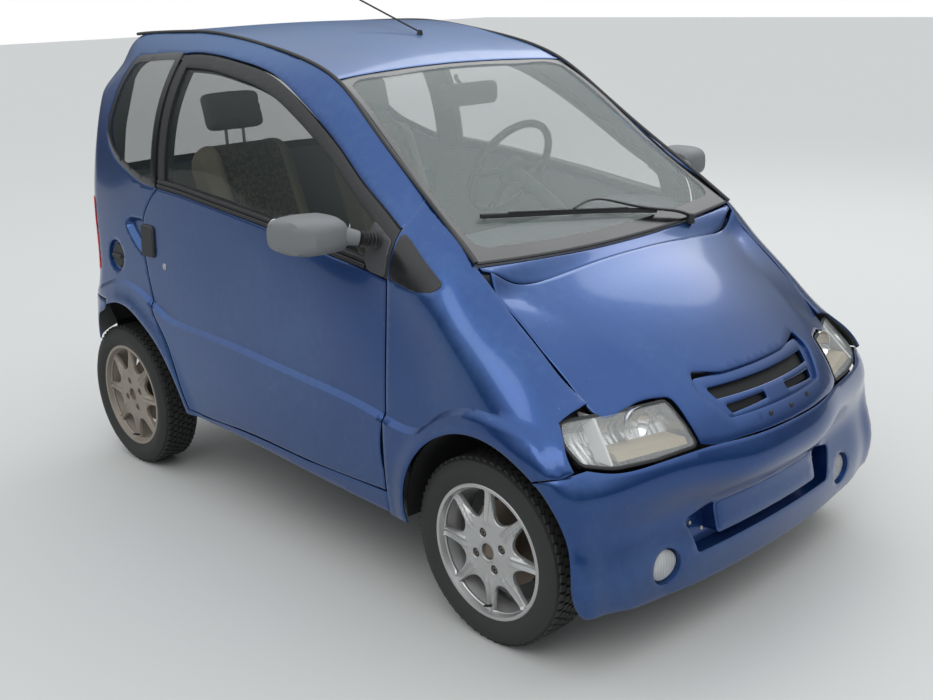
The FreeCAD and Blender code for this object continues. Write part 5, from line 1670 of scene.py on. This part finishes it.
def grown(name, tree, values):
    """The plain points and faces that a node tree makes, with its inputs set by socket identifier."""
    holder = bpy.data.objects.new(name, bpy.data.meshes.new(name))
    scene.collection.objects.link(holder)
    modifier = holder.modifiers.new("Grow", "NODES")
    modifier.node_group = tree
    for identifier, value in values.items():
        modifier[identifier] = value
    result = bpy.data.meshes.new_from_object(holder.evaluated_get(bpy.context.evaluated_depsgraph_get()))
    points = np.array([tuple(v.co) for v in result.vertices]) / MM
    faces = [tuple(p.vertices) for p in result.polygons]
    holder.modifiers.clear()
    bpy.data.objects.remove(holder)
    return points, faces


tread_form = grown("Tread", tread, {tread_inputs[name]: value for name, value in TREAD.items()})
tread_reach = np.hypot(tread_form[0][:, 0], tread_form[0][:, 2])
print("tread", len(tread_form[0]), "points, out to", round(float(tread_reach.max()), 1), "mm")

# %% Wheels in place
HALF_TRACK, AXLE_HEIGHT = 610.0, 254.0
for front, x in (("front", 840.0), ("rear", -975.0)):
    for side, sign in (("right", -1.0), ("left", 1.0)):
        body = "%s_%s_wheel" % (front, side)
        tag = "%s_%s" % (front, side)
        finish = ALLOY if front == "front" else DUSTY_ALLOY

        def on_wheel(name, form, material, slot, nodes=()):
            points = form[0] * (1.0, sign, 1.0) + (x, sign * HALF_TRACK, AXLE_HEIGHT)
            faces = form[1] if sign > 0 else [tuple(reversed(f)) for f in form[1]]
            return make_piece(name + "_" + tag, points, faces, [material], body=body, slot=slot, nodes=nodes)

        on_wheel("Wheel", join(face_form, barrel_form), finish, "alloy", ("rim_" + tag,))
        on_wheel("Tyre", join(tyre_form, tread_form), TYRE, "tyre_rubber", ("tyre_" + tag,))
        on_wheel("Wheel_bolts", join(*bolt_forms, nut_form), IRON, "iron")
        on_wheel("Valve", valve_form, RUBBER, "black_plastic")
print("wheels fitted")

# %% [markdown]
# ## Cabin
# Two fabric seats with grey head pads stand on a plain floor behind a moulded
# dashboard with a hooded instrument binnacle. The soft pads are grown by a
# cloth simulation with inner pressure, so their faces crown and their corners
# pull in like sewn covers over foam.

# %% Cabin finishes
SEAT_MIDDLE = 0.29


def seat_cloth():
    """A dark flecked centre between lighter woven sides."""
    f = Finish("Cabin cloth", Roughness=0.92)
    across = (f.xyz()[1].math("ABSOLUTE") - SEAT_MIDDLE).math("ABSOLUTE")
    weave = f.noise(420.0, 2.0, 0.5)
    fleck = f.noise(85.0, 3.0, 0.6)
    centre = f.mix(f.step(fleck, 0.46, 0.56), (0.085, 0.08, 0.066), (0.16, 0.15, 0.115))
    side = f.mix(weave, (0.25, 0.225, 0.16), (0.35, 0.32, 0.235))
    f.set(Base_Color=f.mix(f.step(across, 0.118, 0.124), centre, side))
    f.bump(weave + fleck * 0.6, 0.0003)
    return f.material


SEAT_CLOTH = seat_cloth()
HEAD_CLOTH = plain("Grey head pad cloth", (0.17, 0.172, 0.176), 0.92)
DASH = plain("Dashboard moulding", (0.06, 0.062, 0.065), 0.62)
DIAL_GLASS = plain("Instrument cover", (0.01, 0.01, 0.012), 0.08)
print("materials so far:", len(bpy.data.materials))

# %% Pads as closed forms


def pad_form(profile, radius, centre_y, half, bolster, lean):
    """A closed pad: a side profile carried across, narrower at both ends, with raised side bolsters."""
    loop = rounded(profile, radius, step=9)
    middle = loop.mean(0)
    sections = []
    for share in (-1.0, -0.985, -0.93, -0.8, -0.66, -0.5, -0.25, 0, 0.25, 0.5, 0.66, 0.8, 0.93, 0.985, 1.0):
        size = 1.0 - 0.1 * abs(share) ** 16 - 0.045 * abs(share) ** 4
        ring = middle + (loop - middle) * size
        front = ((loop - middle) @ np.array(lean)) > 0
        swell = bolster * ease((abs(share) - 0.5) / 0.25) * (1 - 0.6 * ease((abs(share) - 0.85) / 0.15))
        ring = ring + np.outer(front * swell, lean)
        sections.append(np.column_stack([ring[:, 0], np.full(len(ring), centre_y + share * half), ring[:, 1]]))
    return loft(sections)


SEAT_Y = -290
CUSHION = [(-486, 372), (-60, 388), (-38, 480), (-92, 506), (-470, 462)]
BACKREST = [(-500, 440), (-415, 462), (-692, 1140), (-752, 1150), (-772, 1100), (-572, 590)]
HEAD_PAD = [(-752, 1180), (-704, 1180), (-736, 1308), (-790, 1308)]
print("cushion section", round(abs(area(np.array(CUSHION, float)))), "mm2")

# %% Growing a pad by cloth simulation
COVER_PRESSURE, COVER_STIFFNESS = 4.0, 12.0


def grow_pad(name, form, voxel, cap, frames=20):
    """The form as foam under a cover: remeshed, blown up a little by the cloth solver, capped and smoothed."""
    mesh = bpy.data.meshes.new(name)
    mesh.from_pydata([tuple(v) for v in np.asarray(form[0]) * MM], [], [tuple(int(i) for i in f) for f in form[1]])
    holder = bpy.data.objects.new(name + "_form", mesh)
    scene.collection.objects.link(holder)
    remesh = holder.modifiers.new("Remesh", "REMESH")
    remesh.mode, remesh.voxel_size = "VOXEL", voxel
    even = holder.modifiers.new("Even", "SMOOTH")
    even.factor, even.iterations = 0.5, 3
    depsgraph = bpy.context.evaluated_depsgraph_get()
    plain_mesh = bpy.data.meshes.new_from_object(holder.evaluated_get(depsgraph))
    holder.modifiers.clear()
    holder.data = plain_mesh
    start = np.array([tuple(v.co) for v in plain_mesh.vertices])
    cloth = holder.modifiers.new("Cloth", "CLOTH")
    cloth.settings.use_pressure = True
    cloth.settings.uniform_pressure_force = COVER_PRESSURE
    cloth.settings.effector_weights.gravity = 0.0
    cloth.settings.tension_stiffness = cloth.settings.compression_stiffness = COVER_STIFFNESS
    cloth.point_cache.frame_start, cloth.point_cache.frame_end = 1, frames
    for frame_number in range(1, frames + 1):
        scene.frame_set(frame_number)
    depsgraph = bpy.context.evaluated_depsgraph_get()
    blown = bpy.data.meshes.new_from_object(holder.evaluated_get(depsgraph))
    end = np.array([tuple(v.co) for v in blown.vertices])
    holder.modifiers.clear()
    scene.frame_set(1)
    move = end - start
    length = np.linalg.norm(move, axis=1)
    move *= np.minimum(1.0, cap * MM / np.maximum(length, 1e-9))[:, None]
    print(name, "moved by up to", round(float(length.max()) / MM, 1), "mm, capped at", cap)
    start = start + move
    plain_mesh.vertices.foreach_set("co", start.astype(np.float32).ravel())
    fine = holder.modifiers.new("Fine", "SUBSURF")
    fine.levels = 1
    done = bpy.data.meshes.new_from_object(holder.evaluated_get(bpy.context.evaluated_depsgraph_get()))
    points = np.array([tuple(v.co) for v in done.vertices]) / MM
    faces = [tuple(p.vertices) for p in done.polygons]
    bpy.data.objects.remove(holder)
    return points, faces


# Columns: name, form, voxel in metres, cap of the movement in mm, cloth.
PADS = [("Cushion", (CUSHION, [30, 26, 40, 60, 40], SEAT_Y, 196, 20, (0.12, 0.99)), 0.009, 12, SEAT_CLOTH),
        ("Backrest", (BACKREST, [24, 30, 34, 24, 30, 60], SEAT_Y, 192, 24, (0.92, 0.38)), 0.009, 12, SEAT_CLOTH),
        ("Head_pad", (HEAD_PAD, [18, 18, 20, 20], SEAT_Y, 108, 0, (0.95, 0.3)), 0.007, 9, HEAD_CLOTH)]
for name, form, voxel, cap, material in PADS:
    grown_points, grown_faces = grow_pad(name, pad_form(*form), voxel, cap)
    pads = both_sides(name, grown_points, grown_faces, [material], slot="cloth", sharp=80.0,
                      nodes=("seats",) if name == "Cushion" else None)
bars = join(*[facing_out(*tube([(-738, y, 1120), (-742, y, 1215)], 5.5)) for y in (-325, -255)])
both_sides("Head_pad_bars", *bars, [METAL], slot="cloth")
base_x, base_y = egg(-285, SEAT_Y, 185, 150, 8)
base = loft([np.column_stack([base_x, base_y, np.full(len(base_x), z)]) for z in (290.0, 300.0, 372.0)])
both_sides("Cushion_base", *base, [BLACK_PLASTIC], slot="cloth")

print("cushions, backrests and head pads done")

# %% Dashboard
DASH_LINE = [(541, 610), (690, 664), (694, 905), (560, 968), (440, 975), (398, 900), (424, 650)]


def dash_section(y):
    """The dashboard's profile at y: it rises into a hood before the driver and narrows at both ends."""
    loop = rounded(DASH_LINE, [20, 20, 20, 40, 36, 60, 30], step=14)
    hood = 16 * ease(1 - abs(y - 300) / 175)
    ends = ease((abs(y) - 470) / 100)
    high = ease((loop[:, 1] - 900) / 60)
    x = loop[:, 0] - hood * 1.4 * high * (loop[:, 0] < 480) + 16 * ends
    z = loop[:, 1] + hood * high - 46 * ends * high
    return np.column_stack([x, np.full(len(loop), float(y)), z])


make_piece("Dashboard_moulding", *loft([dash_section(y) for y in np.linspace(-572, 572, 60)]), [DASH],
           slot="dash_plastic", nodes=("dashboard",), sharp=50.0)
make_piece("Instrument_cover", *slab(egg(300, 915, 118, 42, 3), (402.0, 388.0)), [DIAL_GLASS], slot="dash_plastic")
vent = [(-4, 34), (6, 34), (8, 30), (2, 27), (-2, 8), (4, 7), (5, 1)]
for k, (y, z) in enumerate([(-470, 905), (-60, 905), (60, 905), (486, 895)]):
    make_piece("Air_vent_%d" % k, *turned([(400 - a, r) for a, r in vent], (0, y, z), "x", 32),
               [BLACK_PLASTIC], slot="dash_plastic")
make_piece("Glove_lid", *slab(egg(-290, 790, 190, 62, 7), (414.0, 399.0, 396.0)), [DASH], slot="dash_plastic")
make_piece("Radio_blank", *slab(egg(0, 800, 90, 27, 9), (414.0, 396.0)), [BLACK_PLASTIC], slot="dash_plastic")
print("hood rises", round(float(dash_section(300)[:, 2].max() - dash_section(0)[:, 2].max()), 1), "mm")

# %% Steering wheel
WHEEL_AT, WHEEL_AXIS = np.array([7.0, 300.0, 1040.0]), np.array([0.882, 0.0, -0.471])
side_axis = np.array([0.0, 1.0, 0.0])
wheel_turn = np.column_stack([side_axis, np.cross(WHEEL_AXIS, side_axis), WHEEL_AXIS])
grip = [(13 * math.sin(a), 172 + 13 * math.cos(a)) for a in np.linspace(0, 2 * math.pi, 14, endpoint=False)]
grip_form = turned(grip, WHEEL_AT, "z", 72, closed=True, turn=wheel_turn)
boss_profile = [(-6, 20), (-4, 46), (4, 52), (26, 48), (34, 30), (70, 12), (74, 9)]
boss = turned(boss_profile, WHEEL_AT, "z", 40, turn=wheel_turn)
spokes = []
for angle in (0, 180, 262):
    a = math.radians(angle)
    reach = [WHEEL_AT + wheel_turn @ np.array([r * math.cos(a), r * math.sin(a), w])
             for r, w in ((40, 12), (90, 9), (140, 4), (168, 0))]
    spokes.append(facing_out(*tube(through_points(reach, 12), 15, sides=14, flat=0.45, up=WHEEL_AXIS)))
make_piece("Steering_wheel_rim", *join(grip_form, boss, *spokes), [BLACK_PLASTIC], body="steering",
           slot="black_plastic", nodes=("steering_wheel",))
print("steering wheel of", 2 * (172 + 13), "mm with", len(spokes), "spokes")

# %% Door trims
panel("Door_armrest", from_side, rounded([(-470, 700), (230, 690), (240, 742), (-470, 762)], 18), thick=34, lift=-45,
      grid=26, rim=8, roll=0, bodies=DOOR_BODIES, materials=[TRIM_GREY] * 3, slot="paint")
panel("Door_pocket", from_side, rounded([(-420, 400), (330, 390), (330, 520), (-440, 540)], 26), thick=30, lift=-45,
      grid=26, rim=8, roll=0, bodies=DOOR_BODIES, materials=[DASH] * 3, slot="paint")
print("cabin fitted")

# %% [markdown]
# ## Under the car
# The parts under the body keep the CAD model's shapes, which are right, and
# get finishes of their own: black chassis paint, road-dulled iron, a sooty
# exhaust and black moulded wheel liners.

# %% Finishes for the CAD parts that stay
SOOT = plain("Sooty exhaust steel", (0.075, 0.062, 0.052), 0.7, metallic=0.5)
DISC = plain("Brake disc iron", (0.2, 0.16, 0.13), 0.45, metallic=0.85)
FLOOR_GREY = plain("Floor moulding", (0.05, 0.05, 0.052), 0.8)
# Starts of node names, and the finish of the nodes they name.
KEPT = {"chassis": CHASSIS_BLACK, "front_arms": CHASSIS_BLACK, "rear_axle": CHASSIS_BLACK, "knuckle": CAST,
        "engine_block": CAST, "drive_shafts": CAST, "exhaust": SOOT, "hub": DISC, "arch_liners": BLACK_PLASTIC,
        "floor_pan": FLOOR_GREY, "steering_column": BLACK_PLASTIC, "cabin_mirror": BLACK_PLASTIC, "antenna": RUBBER}
for name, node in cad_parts.items():
    for start, material in KEPT.items():
        if name.startswith(start):
            for place in node.material_slots:
                place.material = material
print("finished", len(KEPT), "kinds of CAD parts")

# %% [markdown]
# ## Floor and light
# A plain pale floor and a wide soft sky keep the paint's reflections smooth.
# The camera sees white behind; reflections see a sky that darkens towards the
# horizon, which draws the body's lines.

# %% Floor and light
HORIZON_TINT, SKY_TINT, SKY_STRENGTH = (0.07, 0.08, 0.095, 1), (0.95, 0.98, 1.0, 1), 1.45
floor_mesh = bpy.data.meshes.new("Floor")
floor_mesh.from_pydata([(-40, -40, 0), (40, -40, 0), (40, 40, 0), (-40, 40, 0)], [], [(0, 1, 2, 3)])
floor = bpy.data.objects.new("Floor", floor_mesh)
floor_mesh.materials.append(Finish("Pale floor", Base_Color=(0.55, 0.55, 0.54), Roughness=0.9).material)
scene.collection.objects.link(floor)

world = bpy.data.worlds.new("Sky")
scene.world = world
world.use_nodes = True
links, nodes = world.node_tree.links, world.node_tree.nodes
paths, seen, sky = nodes.new("ShaderNodeLightPath"), nodes.new("ShaderNodeBackground"), nodes["Background"]
seen.inputs["Color"].default_value = (1, 1, 1, 1)
height = nodes.new("ShaderNodeSeparateXYZ")
links.new(nodes.new("ShaderNodeTexCoord").outputs["Generated"], height.inputs[0])
ramp = nodes.new("ShaderNodeMapRange")
ramp.interpolation_type = "SMOOTHSTEP"
ramp.inputs["From Min"].default_value, ramp.inputs["From Max"].default_value = 0.0, 0.85
links.new(height.outputs["Z"], ramp.inputs["Value"])
tint = nodes.new("ShaderNodeMix")
tint.data_type = "RGBA"
tint.inputs[6].default_value, tint.inputs[7].default_value = HORIZON_TINT, SKY_TINT
links.new(ramp.outputs["Result"], tint.inputs[0])
links.new(tint.outputs[2], sky.inputs["Color"])
sky.inputs["Strength"].default_value = SKY_STRENGTH
choice = nodes.new("ShaderNodeMixShader")
links.new(paths.outputs["Is Camera Ray"], choice.inputs[0])
links.new(sky.outputs[0], choice.inputs[1])
links.new(seen.outputs[0], choice.inputs[2])
links.new(choice.outputs[0], nodes["World Output"].inputs[0])


def soft_light(name, place, aim, size, watts):
    light = bpy.data.lights.new(name, "AREA")
    light.shape, light.size, light.energy = "DISK", size, watts
    lamp = bpy.data.objects.new(name, light)
    lamp.location = place
    lamp.rotation_euler = (Vector(aim) - Vector(place)).to_track_quat("-Z", "Y").to_euler()
    scene.collection.objects.link(lamp)


soft_light("Key", (2.6, -3.8, 4.8), (0, 0, 0.6), 3.2, 45)
soft_light("Far side", (-1.2, 4.6, 5.2), (0.2, 0, 0.7), 4.4, 90)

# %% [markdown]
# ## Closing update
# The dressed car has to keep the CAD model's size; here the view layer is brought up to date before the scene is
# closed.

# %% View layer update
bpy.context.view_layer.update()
